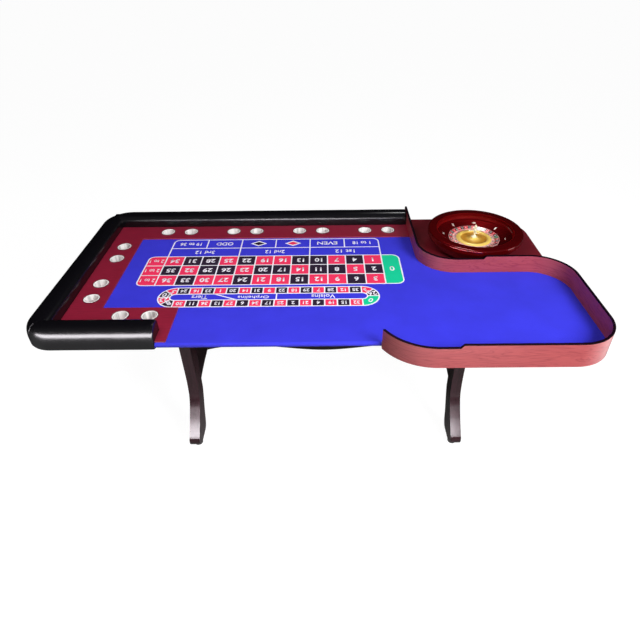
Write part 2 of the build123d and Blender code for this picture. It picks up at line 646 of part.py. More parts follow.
# Round bolt heads on the outer faces of the end panels, where the stretcher is drawn up
BOLT_HEAD_RADIUS = 9.0
BOLT_HEAD_HEIGHT = 5.0
BOLT_LEVELS = (360.0, 415.0, 470.0)
with BuildPart() as frame_bolts:
    for trestle_x, outward in zip(TRESTLES, (-1, 1)):
        face_x = trestle_x + outward * (PANEL_THICK / 2 + BOLT_HEAD_HEIGHT / 2)
        for level in BOLT_LEVELS:
            with Locations(Location((face_x, BASE_CENTRE_Y, level), (0, 90, 0))):
                Cylinder(BOLT_HEAD_RADIUS, BOLT_HEAD_HEIGHT)
frame_bolts.part.label = "frame_bolts"
export_step(frame_bolts.part, "parts/frame_bolts.step")

# -------------------------------------------------------------- roulette wheel
# Wheel profiles are (radius, height above the platform), turned about the wheel's own axis
wheel_plane = Plane(origin=(WHEEL_X, WHEEL_Y, FELT_TOP), x_dir=(1, 0, 0), z_dir=(0, -1, 0))
wheel_floor = Plane(origin=(WHEEL_X, WHEEL_Y, FELT_TOP), x_dir=(1, 0, 0), z_dir=(0, 0, 1))
wheel_axis = Axis((WHEEL_X, WHEEL_Y, FELT_TOP), (0, 0, 1))
PAD_HEIGHT = 4.0
PAD_RADIUS = 14.0
PAD_CIRCLE = 150.0
BASE_RADIUS = 185.0
BASE_TOP = 16.0
WELL_RADIUS = 152.0
APRON_FOOT = (151.0, 60.0)
APRON_HEAD = (219.0, 79.0)
RIM_TOP = 115.0
TRACK_RADIUS = 226.0
PIN_RADIUS = 3.95
BEARING_BORE = 4.0
BEARING_RADIUS = 11.0
BEARING_LEVELS = (26.0, 37.0)
BEARING_WIDTH = 7.0
ROTOR_RADIUS = 148.0
POCKET_INNER = 106.0
POCKET_OUTER = 124.0
POCKET_FLOOR = 45.0
DISC_TOP = 44.0
FRET_TOP = 52.0
FRET_THICK = 1.2
HOOP_INNER = 103.5
HOOP_TOP = 55.0
DEFLECTORS = 8
DEFLECTOR_CIRCLE = 179.0
DEFLECTOR_TURN = -13.0

with BuildPart() as wheel_pads:
    with Locations((WHEEL_X, WHEEL_Y, FELT_TOP)):
        with PolarLocations(PAD_CIRCLE, 4, start_angle=45):
            Cylinder(PAD_RADIUS, PAD_HEIGHT, align=(Align.CENTER, Align.CENTER, Align.MIN))
wheel_pads.part.label = "wheel_pads"
export_step(wheel_pads.part, "parts/wheel_pads.step")

with BuildPart() as wheel_base:
    with BuildSketch(wheel_floor.offset(PAD_HEIGHT)):
        Circle(BASE_RADIUS)
    extrude(amount=BASE_TOP - PAD_HEIGHT)
wheel_base.part.label = "wheel_base"
export_step(wheel_base.part, "parts/wheel_base.step")

with BuildPart() as bowl_shell:
    with BuildSketch(wheel_plane):
        with BuildLine():
            Polyline((WELL_RADIUS, BASE_TOP), (BASE_RADIUS, BASE_TOP), (BASE_RADIUS, PAD_HEIGHT))
            Line((BASE_RADIUS, PAD_HEIGHT), (200, PAD_HEIGHT))
            Spline(
                (200, PAD_HEIGHT),
                (222, 18),
                (246, 44),
                (264, 68),
                (BOWL_RADIUS - 1, 82),
            )
            Line((BOWL_RADIUS - 1, 82), (BOWL_RADIUS, 86))
            Line((BOWL_RADIUS, 86), (BOWL_RADIUS, RIM_TOP - 10))
            ThreePointArc(
                (BOWL_RADIUS, RIM_TOP - 10),
                (BOWL_RADIUS - 3, RIM_TOP - 3),
                (BOWL_RADIUS - 10, RIM_TOP),
            )
            Line((BOWL_RADIUS - 10, RIM_TOP), (TRACK_RADIUS, RIM_TOP))
            Line((TRACK_RADIUS, RIM_TOP), (TRACK_RADIUS, APRON_HEAD[1] - 8))
            Line((TRACK_RADIUS, APRON_HEAD[1] - 8), (WELL_RADIUS, APRON_FOOT[1] - 7))
            Line((WELL_RADIUS, APRON_FOOT[1] - 7), (WELL_RADIUS, BASE_TOP))
        make_face()
    revolve(axis=wheel_axis)
bowl_shell.part.label = "bowl_shell"
export_step(bowl_shell.part, "parts/bowl_shell.step")

with BuildPart() as bowl_apron:
    with BuildSketch(wheel_plane):
        with BuildLine():
            Polyline(
                APRON_FOOT,
                APRON_HEAD,
                (TRACK_RADIUS, APRON_HEAD[1]),
                (TRACK_RADIUS, APRON_HEAD[1] - 8),
                (WELL_RADIUS, APRON_FOOT[1] - 7),
                (APRON_FOOT[0], APRON_FOOT[1] - 7),
                close=True,
            )
        make_face()
    revolve(axis=wheel_axis)
bowl_apron.part.label = "bowl_apron"
export_step(bowl_apron.part, "parts/bowl_apron.step")

with BuildPart() as ball_track:
    with BuildSketch(wheel_plane):
        with BuildLine():
            Line((TRACK_RADIUS, APRON_HEAD[1]), (TRACK_RADIUS, RIM_TOP - 3))
            Line((TRACK_RADIUS, RIM_TOP - 3), (TRACK_RADIUS - 6, RIM_TOP - 3))
            Line((TRACK_RADIUS - 6, RIM_TOP - 3), (TRACK_RADIUS - 5, RIM_TOP - 9))
            ThreePointArc(
                (TRACK_RADIUS - 5, RIM_TOP - 9),
                (TRACK_RADIUS - 2, RIM_TOP - 18),
                (APRON_HEAD[0], APRON_HEAD[1]),
            )
            Line(APRON_HEAD, (TRACK_RADIUS, APRON_HEAD[1]))
        make_face()
    revolve(axis=wheel_axis)
ball_track.part.label = "ball_track"
export_step(ball_track.part, "parts/ball_track.step")

# Diamond deflectors on the apron, by turns along and across the ball's path
apron_slope = degrees(atan2(APRON_HEAD[1] - APRON_FOOT[1], APRON_HEAD[0] - APRON_FOOT[0]))
apron_level = APRON_FOOT[1] + (DEFLECTOR_CIRCLE - APRON_FOOT[0]) * (
    (APRON_HEAD[1] - APRON_FOOT[1]) / (APRON_HEAD[0] - APRON_FOOT[0])
)
DEFLECTOR_HALF_LENGTH = 17.0
DEFLECTOR_HALF_WIDTH = 6.0
DEFLECTOR_HEIGHT = 8.0
DEFLECTOR_SINK = 2.0
with BuildPart() as deflectors:
    for index in range(DEFLECTORS):
        turn = Location(wheel_floor) * Location((0, 0, 0), (0, 0, DEFLECTOR_TURN + index * 360 / DEFLECTORS))
        seat = turn * Location((DEFLECTOR_CIRCLE, 0, apron_level), (0, -apron_slope, 0))
        lie = seat * Location((0, 0, -DEFLECTOR_SINK), (0, 0, 90 * ((index + 1) % 2)))
        with BuildSketch(Plane(lie)):
            with BuildLine():
                Polyline(
                    (DEFLECTOR_HALF_LENGTH, 0),
                    (0, DEFLECTOR_HALF_WIDTH),
                    (-DEFLECTOR_HALF_LENGTH, 0),
                    (0, -DEFLECTOR_HALF_WIDTH),
                    close=True,
                )
            make_face()
        extrude(amount=DEFLECTOR_HEIGHT + DEFLECTOR_SINK, taper=25)
    add(bowl_apron.part, mode=Mode.SUBTRACT)
    add(bowl_shell.part, mode=Mode.SUBTRACT)
deflectors.part.label = "deflectors"
export_step(deflectors.part, "parts/deflectors.step")

with BuildPart() as spindle:
    with BuildSketch(wheel_plane):
        with BuildLine():
            Polyline(
                (0, BASE_TOP),
                (30, BASE_TOP),
                (30, BASE_TOP + 4),
                (9, BASE_TOP + 5),
                (9, BEARING_LEVELS[0] - 2),
                (6, BEARING_LEVELS[0] - 2),
                (6, BEARING_LEVELS[0]),
                (PIN_RADIUS, BEARING_LEVELS[0]),
                (PIN_RADIUS, 57),
                (PIN_RADIUS - 1, 58),
                (0, 58),
                close=True,
            )
        make_face()
    revolve(axis=wheel_axis)
spindle.part.label = "spindle"
export_step(spindle.part, "parts/spindle.step")

with BuildPart() as bearings:
    for level in BEARING_LEVELS:
        with BuildSketch(wheel_floor.offset(level)):
            Circle(BEARING_RADIUS)
            Circle(BEARING_BORE, mode=Mode.SUBTRACT)
        extrude(amount=BEARING_WIDTH)
bearings.part.label = "bearings"
export_step(bearings.part, "parts/bearings.step")

with BuildPart() as rotor_body:
    with BuildSketch(wheel_plane):
        with BuildLine():
            Polyline(
                (BEARING_RADIUS, BEARING_LEVELS[0]),
                (24, BEARING_LEVELS[0]),
                (40, 30),
                (ROTOR_RADIUS - 4, 30),
                (ROTOR_RADIUS, 34),
                (ROTOR_RADIUS, DISC_TOP),
                (BEARING_RADIUS, DISC_TOP),
                close=True,
            )
        make_face()
    revolve(axis=wheel_axis)
rotor_body.part.label = "rotor_body"
export_step(rotor_body.part, "parts/rotor_body.step")

with BuildPart() as number_ring:
    with BuildSketch(wheel_plane):
        with BuildLine():
            Polyline(
                (POCKET_OUTER, DISC_TOP),
                (POCKET_OUTER, 54),
                (ROTOR_RADIUS - 3, 63),
                (ROTOR_RADIUS - 1, 63),
                (ROTOR_RADIUS, 62),
                (ROTOR_RADIUS, DISC_TOP),
                close=True,
            )
        make_face()
    revolve(axis=wheel_axis)
number_ring.part.label = "number_ring"
export_step(number_ring.part, "parts/number_ring.step")

with BuildPart() as pocket_ring:
    with BuildSketch(wheel_floor.offset(DISC_TOP)):
        Circle(POCKET_OUTER)
        Circle(HOOP_INNER, mode=Mode.SUBTRACT)
    extrude(amount=POCKET_FLOOR - DISC_TOP)
pocket_ring.part.label = "pocket_ring"
export_step(pocket_ring.part, "parts/pocket_ring.step")

# One hoop with a fret between every two pockets
with BuildPart() as fret_ring:
    with BuildSketch(wheel_floor.offset(POCKET_FLOOR)):
        Circle(POCKET_INNER)
        Circle(HOOP_INNER, mode=Mode.SUBTRACT)
    extrude(amount=HOOP_TOP - POCKET_FLOOR)
    with BuildSketch(wheel_floor.offset(POCKET_FLOOR)):
        with PolarLocations(0, POCKETS, start_angle=180 / POCKETS):
            with Locations((POCKET_INNER - 1, 0)):
                Rectangle(
                    POCKET_OUTER - POCKET_INNER + 0.8,
                    FRET_THICK,
                    align=(Align.MIN, Align.CENTER),
                )
    extrude(amount=FRET_TOP - POCKET_FLOOR)
fret_ring.part.label = "fret_ring"
export_step(fret_ring.part, "parts/fret_ring.step")

with BuildPart() as rotor_cone:
    with BuildSketch(wheel_plane):
        with BuildLine():
            Polyline((5, DISC_TOP), (HOOP_INNER, DISC_TOP), (HOOP_INNER, 55))
            Spline((HOOP_INNER, 55), (100, 59), (92, 62), (84, 62), (79, 60))
            Spline((79, 60), (75, 55), (66, 52), (45, 52), (24, 57), (16, 64))
            Polyline((16, 64), (5, 64), (5, DISC_TOP))
        make_face()
    revolve(axis=wheel_axis)
rotor_cone.part.label = "rotor_cone"
export_step(rotor_cone.part, "parts/rotor_cone.step")

# Turret: turned column with four arms that end in balls
ARM_LEVEL = 104.0
ARM_REACH = 34.0
ARM_RADIUS = 2.2
BALL_RADIUS = 5.0
TURRET_TOP = 142.0
with BuildPart() as turret:
    with BuildSketch(wheel_plane):
        with BuildLine():
            Polyline((0, 64), (18, 64), (18, 67))
            Spline((18, 67), (12, 70), (7, 77), (5, 88), (5.5, 96), (8, 99))
            Polyline((8, 99), (8, 109), (5, 112))
            Spline((5, 112), (4, 118), (6.5, 125), (8, 130), (6, 137), (0, TURRET_TOP))
            Line((0, TURRET_TOP), (0, 64))
        make_face()
    revolve(axis=wheel_axis)
    with BuildSketch(wheel_plane.offset(-ARM_REACH)):
        with Locations((0, ARM_LEVEL)):
            Circle(ARM_RADIUS)
    extrude(amount=2 * ARM_REACH)
    with BuildSketch(
        Plane(origin=(WHEEL_X - ARM_REACH, WHEEL_Y, FELT_TOP), x_dir=(0, 1, 0), z_dir=(1, 0, 0))
    ):
        with Locations((0, ARM_LEVEL)):
            Circle(ARM_RADIUS)
    extrude(amount=2 * ARM_REACH)
    with Locations(Location(wheel_floor.offset(ARM_LEVEL))):
        with PolarLocations(ARM_REACH, 4):
            Sphere(BALL_RADIUS)
turret.part.label = "turret"
export_step(turret.part, "parts/turret.step")
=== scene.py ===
import math

import bmesh
import bpy
from mathutils import Matrix, Vector, noise


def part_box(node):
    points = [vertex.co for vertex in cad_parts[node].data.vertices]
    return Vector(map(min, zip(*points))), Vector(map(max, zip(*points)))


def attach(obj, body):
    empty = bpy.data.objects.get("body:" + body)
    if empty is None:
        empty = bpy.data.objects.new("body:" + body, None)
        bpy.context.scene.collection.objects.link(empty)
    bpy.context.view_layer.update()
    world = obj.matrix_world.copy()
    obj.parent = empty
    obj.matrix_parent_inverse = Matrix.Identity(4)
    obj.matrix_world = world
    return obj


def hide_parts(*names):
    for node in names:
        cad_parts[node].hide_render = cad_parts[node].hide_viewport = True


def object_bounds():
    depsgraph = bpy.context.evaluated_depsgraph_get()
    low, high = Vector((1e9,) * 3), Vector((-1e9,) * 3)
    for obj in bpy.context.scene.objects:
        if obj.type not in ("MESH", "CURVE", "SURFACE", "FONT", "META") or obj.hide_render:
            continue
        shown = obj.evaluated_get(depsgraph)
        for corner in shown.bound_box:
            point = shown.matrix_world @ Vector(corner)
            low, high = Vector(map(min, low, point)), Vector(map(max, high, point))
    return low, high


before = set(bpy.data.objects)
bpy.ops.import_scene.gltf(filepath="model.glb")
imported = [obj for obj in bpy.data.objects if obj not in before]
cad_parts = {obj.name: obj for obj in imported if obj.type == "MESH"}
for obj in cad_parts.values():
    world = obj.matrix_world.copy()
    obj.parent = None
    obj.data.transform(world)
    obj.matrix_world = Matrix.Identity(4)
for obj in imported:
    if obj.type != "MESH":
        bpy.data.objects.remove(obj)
cad_low, cad_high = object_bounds()

# Roulette table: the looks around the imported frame. Metres, floor at z = 0, dealer at -Y, wheel at +X.

# -------------------- places from the frame
felt_low, felt_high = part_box("felt_cloth")
FELT_TOP = felt_high.z
deck_low, deck_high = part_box("deck_board")
DECK_TOP = deck_high.z
DECK_BOTTOM = deck_low.z
track_low, track_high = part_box("track_board")
TRACK_TOP = track_high.z
base_low, base_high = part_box("wheel_base")
WHEEL = (base_low + base_high) / 2
SHELF_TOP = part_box("wheel_platform")[1].z

# -------------------- table-top layout
CELL = 0.105
LAYOUT_X = -0.03465
LAYOUT_Y = 0.241
LINE = 0.0072
PRINT_WHITE = 0.00025
PRINT_COLOUR = 0.0004
PRINT_LETTER = 0.0006
CORNER_STEPS = 8
BEND_STEPS = 24
WHEEL_ORDER = (
    0, 32, 15, 19, 4, 21, 2, 25, 17, 34, 6, 27, 13, 36, 11, 30, 8, 23, 10,
    5, 24, 16, 33, 1, 20, 14, 31, 9, 22, 18, 29, 7, 28, 12, 35, 3, 26,
)
REDS = (1, 3, 5, 7, 9, 12, 14, 16, 18, 19, 21, 23, 25, 27, 30, 32, 34, 36)


def colour_of(number):
    """Colour name of a roulette number."""
    if number == 0:
        return "green"
    return "red" if number in REDS else "black"


# -------------------- materials
class Finish:
    """A procedural material. Each method adds nodes and returns the socket that comes out."""

    def __init__(self, name, colour, roughness, **uniform):
        self.material = bpy.data.materials.new(name)
        self.material.use_nodes = True
        self.tree = self.material.node_tree
        self.shader = self.tree.nodes["Principled BSDF"]
        self.shader.inputs["Base Color"].default_value = (*colour, 1)
        self.shader.inputs["Roughness"].default_value = roughness
        for socket, value in uniform.items():
            self.shader.inputs[socket.replace("_", " ")].default_value = value

    def add(self, kind, **inputs):
        node = self.tree.nodes.new("ShaderNode" + kind)
        for socket, value in inputs.items():
            self.feed(value, node.inputs[socket.replace("_", " ")])
        return node

    def feed(self, value, socket):
        if isinstance(value, bpy.types.NodeSocket):
            self.tree.links.new(value, socket)
        else:
            socket.default_value = value

    def place(self, scale=(1, 1, 1), centre=(0, 0, 0)):
        """Position on the object, moved and stretched."""
        origin = self.add("TexCoord").outputs["Object"]
        moved = self.add("Mapping", Vector=origin, Scale=scale)
        moved.inputs["Location"].default_value = [-c * s for c, s in zip(centre, scale)]
        return moved.outputs["Vector"]

    def noise(self, where, scale, detail=3.0, roughness=0.5, distortion=0.0):
        inputs = {"Vector": where, "Scale": scale, "Detail": detail, "Roughness": roughness}
        return self.add("TexNoise", **inputs, Distortion=distortion).outputs["Fac"]

    def pebbles(self, where, scale):
        """Distance from the edges of an irregular cell pattern."""
        node = self.add("TexVoronoi", Vector=where, Scale=scale)
        node.feature = "DISTANCE_TO_EDGE"
        return node.outputs["Distance"]

    def wave(self, where, scale, axis, distortion=0.0):
        node = self.add("TexWave", Vector=where, Scale=scale, Distortion=distortion)
        node.bands_direction = axis
        return node.outputs["Fac"]

    def ramp(self, amount, stops):
        """Colour along stops of (position, colour)."""
        node = self.add("ValToRGB", Fac=amount)
        elements = node.color_ramp.elements
        while len(elements) < len(stops):
            elements.new(0.5)
        for element, (position, colour) in zip(elements, stops):
            element.position = position
            element.color = (*colour, 1)
        return node.outputs["Color"]

    def maths(self, operation, a, b=0.0):
        node = self.add("Math")
        node.operation = operation
        self.feed(a, node.inputs[0])
        self.feed(b, node.inputs[1])
        return node.outputs["Value"]

    def weighted(self, *parts):
        """Sum of parts, each given with its weight."""
        total = None
        for socket, weight in parts:
            part = self.maths("MULTIPLY", socket, weight)
            total = part if total is None else self.maths("ADD", total, part)
        return total

    def span(self, amount, start, end, low, high):
        """A number from low to high as amount goes from start to end."""
        limits = {"From_Min": start, "From_Max": end, "To_Min": low, "To_Max": high}
        return self.add("MapRange", Value=amount, **limits).outputs["Result"]

    def between(self, amount, low, high):
        """A number from low to high as amount goes from 0 to 1."""
        return self.span(amount, 0.0, 1.0, low, high)

    def level(self):
        """1 where the surface is level, down to 0 where it is upright."""
        normal = self.add("NewGeometry").outputs["Normal"]
        return self.maths("ABSOLUTE", self.add("SeparateXYZ", Vector=normal).outputs["Z"])

    def blend(self, amount, a, b):
        node = self.add("Mix")
        node.data_type = "RGBA"
        self.feed(amount, node.inputs["Factor"])
        self.feed(a, node.inputs[6])
        self.feed(b, node.inputs[7])
        return node.outputs[2]

    def colour(self, socket):
        self.feed(socket, self.shader.inputs["Base Color"])

    def tones(self, amount, colour, dark, light, start=0.3, end=0.7):
        """Colours the surface from a darker to a lighter shade as amount goes from start to end."""
        self.colour(self.ramp(amount, [(start, shade(colour, dark)), (end, shade(colour, light))]))

    def rough(self, socket):
        self.feed(socket, self.shader.inputs["Roughness"])

    def bump(self, height, depth, strength=1.0):
        """Relief of the given depth in metres."""
        node = self.add("Bump", Height=height, Strength=strength, Distance=depth)
        self.feed(node.outputs["Normal"], self.shader.inputs["Normal"])


def shade(colour, amount):
    """The colour made lighter or darker."""
    return tuple(min(1.0, c * amount) for c in colour)


def midway(one, other):
    """The colour halfway between two others."""
    return tuple((a + b) / 2 for a, b in zip(one, other))


def cloth(name, colour, worn=0.10):
    """Felted wool: fibres in all directions over a fine weave, faintly uneven in colour."""
    finish = Finish(name, colour, 0.92, Specular_IOR_Level=0.12, Sheen_Weight=0.05, Sheen_Roughness=0.5)
    where = finish.place()
    clouds = finish.noise(where, 6.0, 4.0)
    fibres = finish.noise(where, 900.0, 4.0, 0.7)
    finish.tones(finish.weighted((clouds, 0.6), (fibres, 0.4)), colour, 1 - worn, 1 + worn)
    threads = finish.maths("ADD", finish.wave(where, 420.0, "X", 1.5), finish.wave(where, 420.0, "Y", 1.5))
    finish.bump(finish.maths("ADD", fibres, finish.maths("MULTIPLY", threads, 0.35)), 0.0004, 0.35)
    return finish.material


def vinyl(name, colour):
    """Upholstery vinyl: fine pebbled grain, glossy, with faint dulling where hands rest."""
    finish = Finish(name, colour, 0.2, Specular_IOR_Level=0.42)
    where = finish.place()
    pebbles = finish.pebbles(where, 900.0)
    dents = finish.noise(where, 260.0)
    finish.bump(finish.maths("ADD", pebbles, finish.maths("MULTIPLY", dents, 0.5)), 0.00002, 0.4)
    finish.rough(finish.between(finish.noise(where, 9.0), 0.20, 0.28))
    finish.tones(dents, colour, 0.7, 1.4, 0.35, 0.65)
    return finish.material


def wood(
    name, dark, light, stretch, roughness,
    coat=0.0, rings=1.0, relief=0.00008, specular=0.5, figure=0.0, metallic=0.0,
):
    """Lacquered wood. stretch squeezes the grain across the board and leaves it long along it.

    figure draws the arches of a plain-sawn board, and metallic gives a deep lacquer its sheen.
    """
    shine = {"Coat_Weight": coat, "Coat_Roughness": 0.07, "Specular_IOR_Level": specular}
    finish = Finish(name, dark, roughness, Metallic=metallic, **shine)
    where = finish.place(stretch)
    broad = finish.noise(where, 1.6 * rings, 4.0, 0.55, 0.8)
    lines = finish.noise(where, 9.0 * rings, 5.0, 0.65, 0.3)
    pores = finish.noise(where, 42.0 * rings, 3.0, 0.6)
    grain = finish.weighted((broad, 0.45), (lines, 0.4), (pores, 0.15))
    if figure:
        contour = finish.maths("PINGPONG", finish.maths("MULTIPLY", broad, 13.0), 0.5)
        arches = finish.maths("POWER", finish.maths("SUBTRACT", 1.0, contour), 9.0)
        calm = finish.maths("ADD", finish.maths("MULTIPLY", grain, 0.45), 0.30)
        grain = finish.maths("SUBTRACT", calm, finish.maths("MULTIPLY", arches, figure))
    finish.colour(finish.ramp(grain, [(0.36, dark), (0.5, midway(dark, light)), (0.64, light)]))
    finish.rough(finish.between(lines, roughness * 0.85, roughness * 1.2))
    finish.bump(finish.maths("ADD", lines, pores), relief, 0.4)
    return finish.material


def laminate(name, colour, roughness):
    """Pressed laminate with a faint straight figure and a fine orange-peel surface."""
    finish = Finish(name, colour, roughness, Specular_IOR_Level=0.45)
    figure = finish.noise(finish.place((1.0, 9.0, 1.0)), 14.0, 4.0, 0.6, 0.5)
    finish.tones(figure, colour, 0.82, 1.16)
    finish.bump(finish.noise(finish.place(), 420.0, 2.0), 0.00006, 0.35)
    finish.rough(finish.between(figure, roughness * 0.9, roughness * 1.15))
    return finish.material


def metal(name, colour, roughness, metallic=1.0, centre=None):
    """Polished metal. With a centre it carries the fine turning marks of a lathe."""
    finish = Finish(name, colour, roughness, Metallic=metallic)
    smudge = finish.noise(finish.place(), 30.0)
    if centre is None:
        marks = finish.noise(finish.place((1, 1, 12)), 300.0, 2.0)
    else:
        where = finish.place((1, 1, 1), centre)
        turned = finish.add("TexWave", Vector=where, Scale=900.0, Distortion=0.4)
        turned.wave_type = "RINGS"
        turned.rings_direction = "Z"
        marks = turned.outputs["Fac"]
    finish.bump(marks, 0.00002, 0.35)
    finish.rough(finish.between(smudge, roughness * 0.8, roughness * 1.3))
    finish.tones(smudge, colour, 0.92, 1.05)
    return finish.material


def cup_steel(name, colour):
    """Satin stainless steel drawn as a near-white matt surface, its brightness a painted reflection, with
    painted reflection as upright light and dark streaks down the walls.
    """
    finish = Finish(name, colour, 0.2, Metallic=0.0)
    wall = finish.maths("LESS_THAN", finish.level(), 0.6)
    streaks = finish.noise(finish.place((1, 1, 0.02)), 46.0, 2.0, 0.6)
    # Painted reflection: the walls, picked out by how upright they stand, get light and dark streaks that the
    # flat does not.
    shine = finish.ramp(streaks, [(0.40, shade(colour, 0.62)), (0.50, shade(colour, 0.9)), (0.60, colour)])
    brushed = finish.noise(finish.place(), 300.0)
    flat = finish.ramp(brushed, [(0.3, shade(colour, 0.93)), (0.7, colour)])
    finish.colour(finish.blend(wall, flat, shine))
    finish.bump(brushed, 0.00001, 0.4)
    finish.rough(finish.between(brushed, 0.16, 0.24))
    return finish.material


def dish(name, bright, deep, edge):
    """Spun brass, coloured by its distance from the wheel's axis: bright at the centre and on the rim, with
    painted shade darkening the hollow between.
    """
    finish = Finish(name, bright, 0.30, Metallic=0.04, Coat_Weight=0.3, Coat_Roughness=0.1)
    where = finish.place((1, 1, 0), (WHEEL.x, WHEEL.y, 0))
    length = finish.add("VectorMath", Vector=where)
    length.operation = "LENGTH"
    radius = length.outputs["Value"]
    uneven = finish.maths("MULTIPLY", finish.noise(where, 18.0), 0.06)
    share = finish.maths("ADD", finish.maths("DIVIDE", radius, edge), uneven)
    # The deep stops paint the shade that falls in the hollow of the dish.
    stops = [(0.24, bright), (0.34, midway(bright, deep)), (0.52, deep), (0.74, deep), (0.79, bright)]
    finish.colour(finish.ramp(share, stops))
    finish.bump(finish.wave(radius, 900.0, "X"), 0.00002, 0.3)
    return finish.material


def moulded(name, colour, roughness, grain=500.0, relief=0.00008, coat=0.0, specular=0.5):
    """Moulded plastic, rubber or paint with a fine stipple."""
    shine = {"Coat_Weight": coat, "Coat_Roughness": 0.08, "Specular_IOR_Level": specular}
    finish = Finish(name, colour, roughness, **shine)
    where = finish.place()
    stipple = finish.noise(where, grain)
    finish.bump(stipple, relief, 0.4)
    finish.tones(finish.noise(where, 12.0), colour, 0.9, 1.1)
    finish.rough(finish.between(stipple, roughness * 0.9, roughness * 1.12))
    return finish.material


def plywood(name, pale, brown, ply):
    """Raw plywood: its plies show as bands on the edges and as long grain on the faces."""
    finish = Finish(name, pale, 0.65, Specular_IOR_Level=0.3)
    face = finish.noise(finish.place((1.5, 14.0, 1.0)), 5.0, 5.0, 0.6, 0.6)
    bands = finish.wave(finish.place(), 1.0 / (ply * 2 * 3.2), "Z", 0.2)
    grain = finish.ramp(face, [(0.3, brown), (0.7, pale)])
    layers = finish.ramp(bands, [(0.45, shade(brown, 0.7)), (0.55, pale)])
    finish.colour(finish.blend(finish.maths("GREATER_THAN", finish.level(), 0.5), layers, grain))
    finish.bump(face, 0.00015, 0.4)
    return finish.material


finishes = {}


def dress(kind, name, *options, **more):
    """Makes a finish and keeps it under its name."""
    finishes[name] = kind(name, *options, **more)


dress(cloth, "felt_blue", (0.041, 0.040, 0.70))
dress(vinyl, "rail_vinyl", (0.0035, 0.0032, 0.0045))
dress(laminate, "track_burgundy", (0.275, 0.0145, 0.039), 0.38)
dress(laminate, "shelf_laminate", (0.18, 0.013, 0.022), 0.30)
dress(
    wood, "fence_wood", (0.33, 0.042, 0.049), (0.51, 0.088, 0.091), (0.8, 0.8, 8.0), 0.36,
    coat=0.1, rings=1.5, figure=0.24,
)
dress(moulded, "edge_band", (0.007, 0.0015, 0.005), 0.6, specular=0.05)
dress(wood, "leg_mahogany", (0.026, 0.0072, 0.010), (0.060, 0.018, 0.026), (14.0, 14.0, 1.2), 0.20)
dress(
    wood, "frame_mahogany", (0.010, 0.004, 0.005), (0.024, 0.009, 0.011), (1.5, 1.5, 16.0), 0.42,
    specular=0.25,
)
dress(wood, "core_wood", (0.42, 0.27, 0.14), (0.62, 0.44, 0.26), (1.5, 12.0, 12.0), 0.7)
dress(plywood, "deck_ply", (0.60, 0.43, 0.25), (0.42, 0.26, 0.13), 0.004)
dress(moulded, "foam_grey", (0.14, 0.14, 0.15), 0.95, 700.0, 0.0003)
dress(moulded, "glide_plastic", (0.012, 0.012, 0.013), 0.5)
dress(moulded, "pad_rubber", (0.014, 0.014, 0.014), 0.75)
dress(metal, "bolt_steel", (0.10, 0.10, 0.11), 0.35)
dress(metal, "spindle_steel", (0.60, 0.60, 0.62), 0.22, 1.0, WHEEL)
DEEP_LACQUER = {"coat": 1.0, "rings": 1.6, "relief": 0.00001, "specular": 0.0}
dress(
    wood, "bowl_mahogany", (0.14, 0.0014, 0.0032), (0.20, 0.0025, 0.0046), (3.0, 9.0, 9.0), 0.24,
    metallic=0.66, **DEEP_LACQUER,
)
dress(
    wood, "track_mahogany", (0.22, 0.003, 0.0035), (0.32, 0.006, 0.007), (9.0, 3.0, 9.0), 0.3,
    metallic=0.5, **DEEP_LACQUER,
)
dress(metal, "deflector_chrome", (1.0, 0.95, 0.86), 0.16, 0.3)
dress(wood, "rotor_board", (0.05, 0.01, 0.008), (0.11, 0.03, 0.02), (4.0, 9.0, 9.0), 0.25, 0.8)
dress(metal, "number_ring", (0.98, 0.50, 0.47), 0.24, 0.2, WHEEL)
dress(metal, "pocket_metal", (0.66, 0.26, 0.26), 0.3, 0.5, WHEEL)
dress(metal, "fret_metal", (1.0, 0.70, 0.64), 0.2, 0.2)
# The second colour is the painted shade in the cone's hollow.
dress(dish, "cone_brass", (1.0, 0.68, 0.15), (0.60, 0.27, 0.027), 0.1035)
dress(metal, "turret_brass", (1.0, 0.90, 0.62), 0.2, 0.1)
dress(cup_steel, "cup_steel", (1.0, 0.95, 0.93))
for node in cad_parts.values():
    for place in node.material_slots:
        place.material = finishes[place.material.name.split(".")[0]]

dress(cloth, "print_white", (0.93, 0.90, 1.0), 0.04)
dress(cloth, "print_red", (0.95, 0.034, 0.12), 0.06)
dress(cloth, "print_black", (0.022, 0.010, 0.030), 0.15)
dress(cloth, "print_green", (0.004, 0.62, 0.32), 0.06)
ENAMEL = {"grain": 900.0, "relief": 0.00001}
dress(moulded, "enamel_white", (0.85, 0.84, 0.80), 0.25, **ENAMEL)
dress(moulded, "enamel_red", (0.72, 0.03, 0.05), 0.22, coat=0.6, **ENAMEL)
dress(moulded, "enamel_black", (0.012, 0.010, 0.010), 0.22, coat=0.6, **ENAMEL)
dress(moulded, "enamel_green", (0.01, 0.22, 0.06), 0.22, coat=0.6, **ENAMEL)


# -------------------- mesh helpers
def put(name, data):
    """A new object in the scene."""
    thing = bpy.data.objects.new(name, data)
    bpy.context.scene.collection.objects.link(thing)
    return thing


def finish_piece(name, bm, finish, body, smooth_angle=None):
    """Makes a piece of the bmesh, dresses it and hangs it on a body."""
    mesh = mesh_of(bm, name)
    mesh.materials.append(finishes[finish])
    piece = put(name, mesh)
    if smooth_angle is not None:
        mesh.polygons.foreach_set("use_smooth", [True] * len(mesh.polygons))
        mesh.set_sharp_from_angle(angle=math.radians(smooth_angle))
    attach(piece, body)
    return piece


def mesh_of(bm, name):
    """The finished mesh of a bmesh, with its faces turned outwards."""
    bmesh.ops.recalc_face_normals(bm, faces=bm.faces)
    mesh = bpy.data.meshes.new(name)
    bm.to_mesh(mesh)
    bm.free()
    return mesh


def arc(centre, radius, start, end, steps):
    """Points on an arc, angles in degrees."""
    points = []
    for i in range(steps + 1):
        angle = math.radians(start + (end - start) * i / steps)
        points.append((centre[0] + radius * math.cos(angle), centre[1] + radius * math.sin(angle)))
    return points


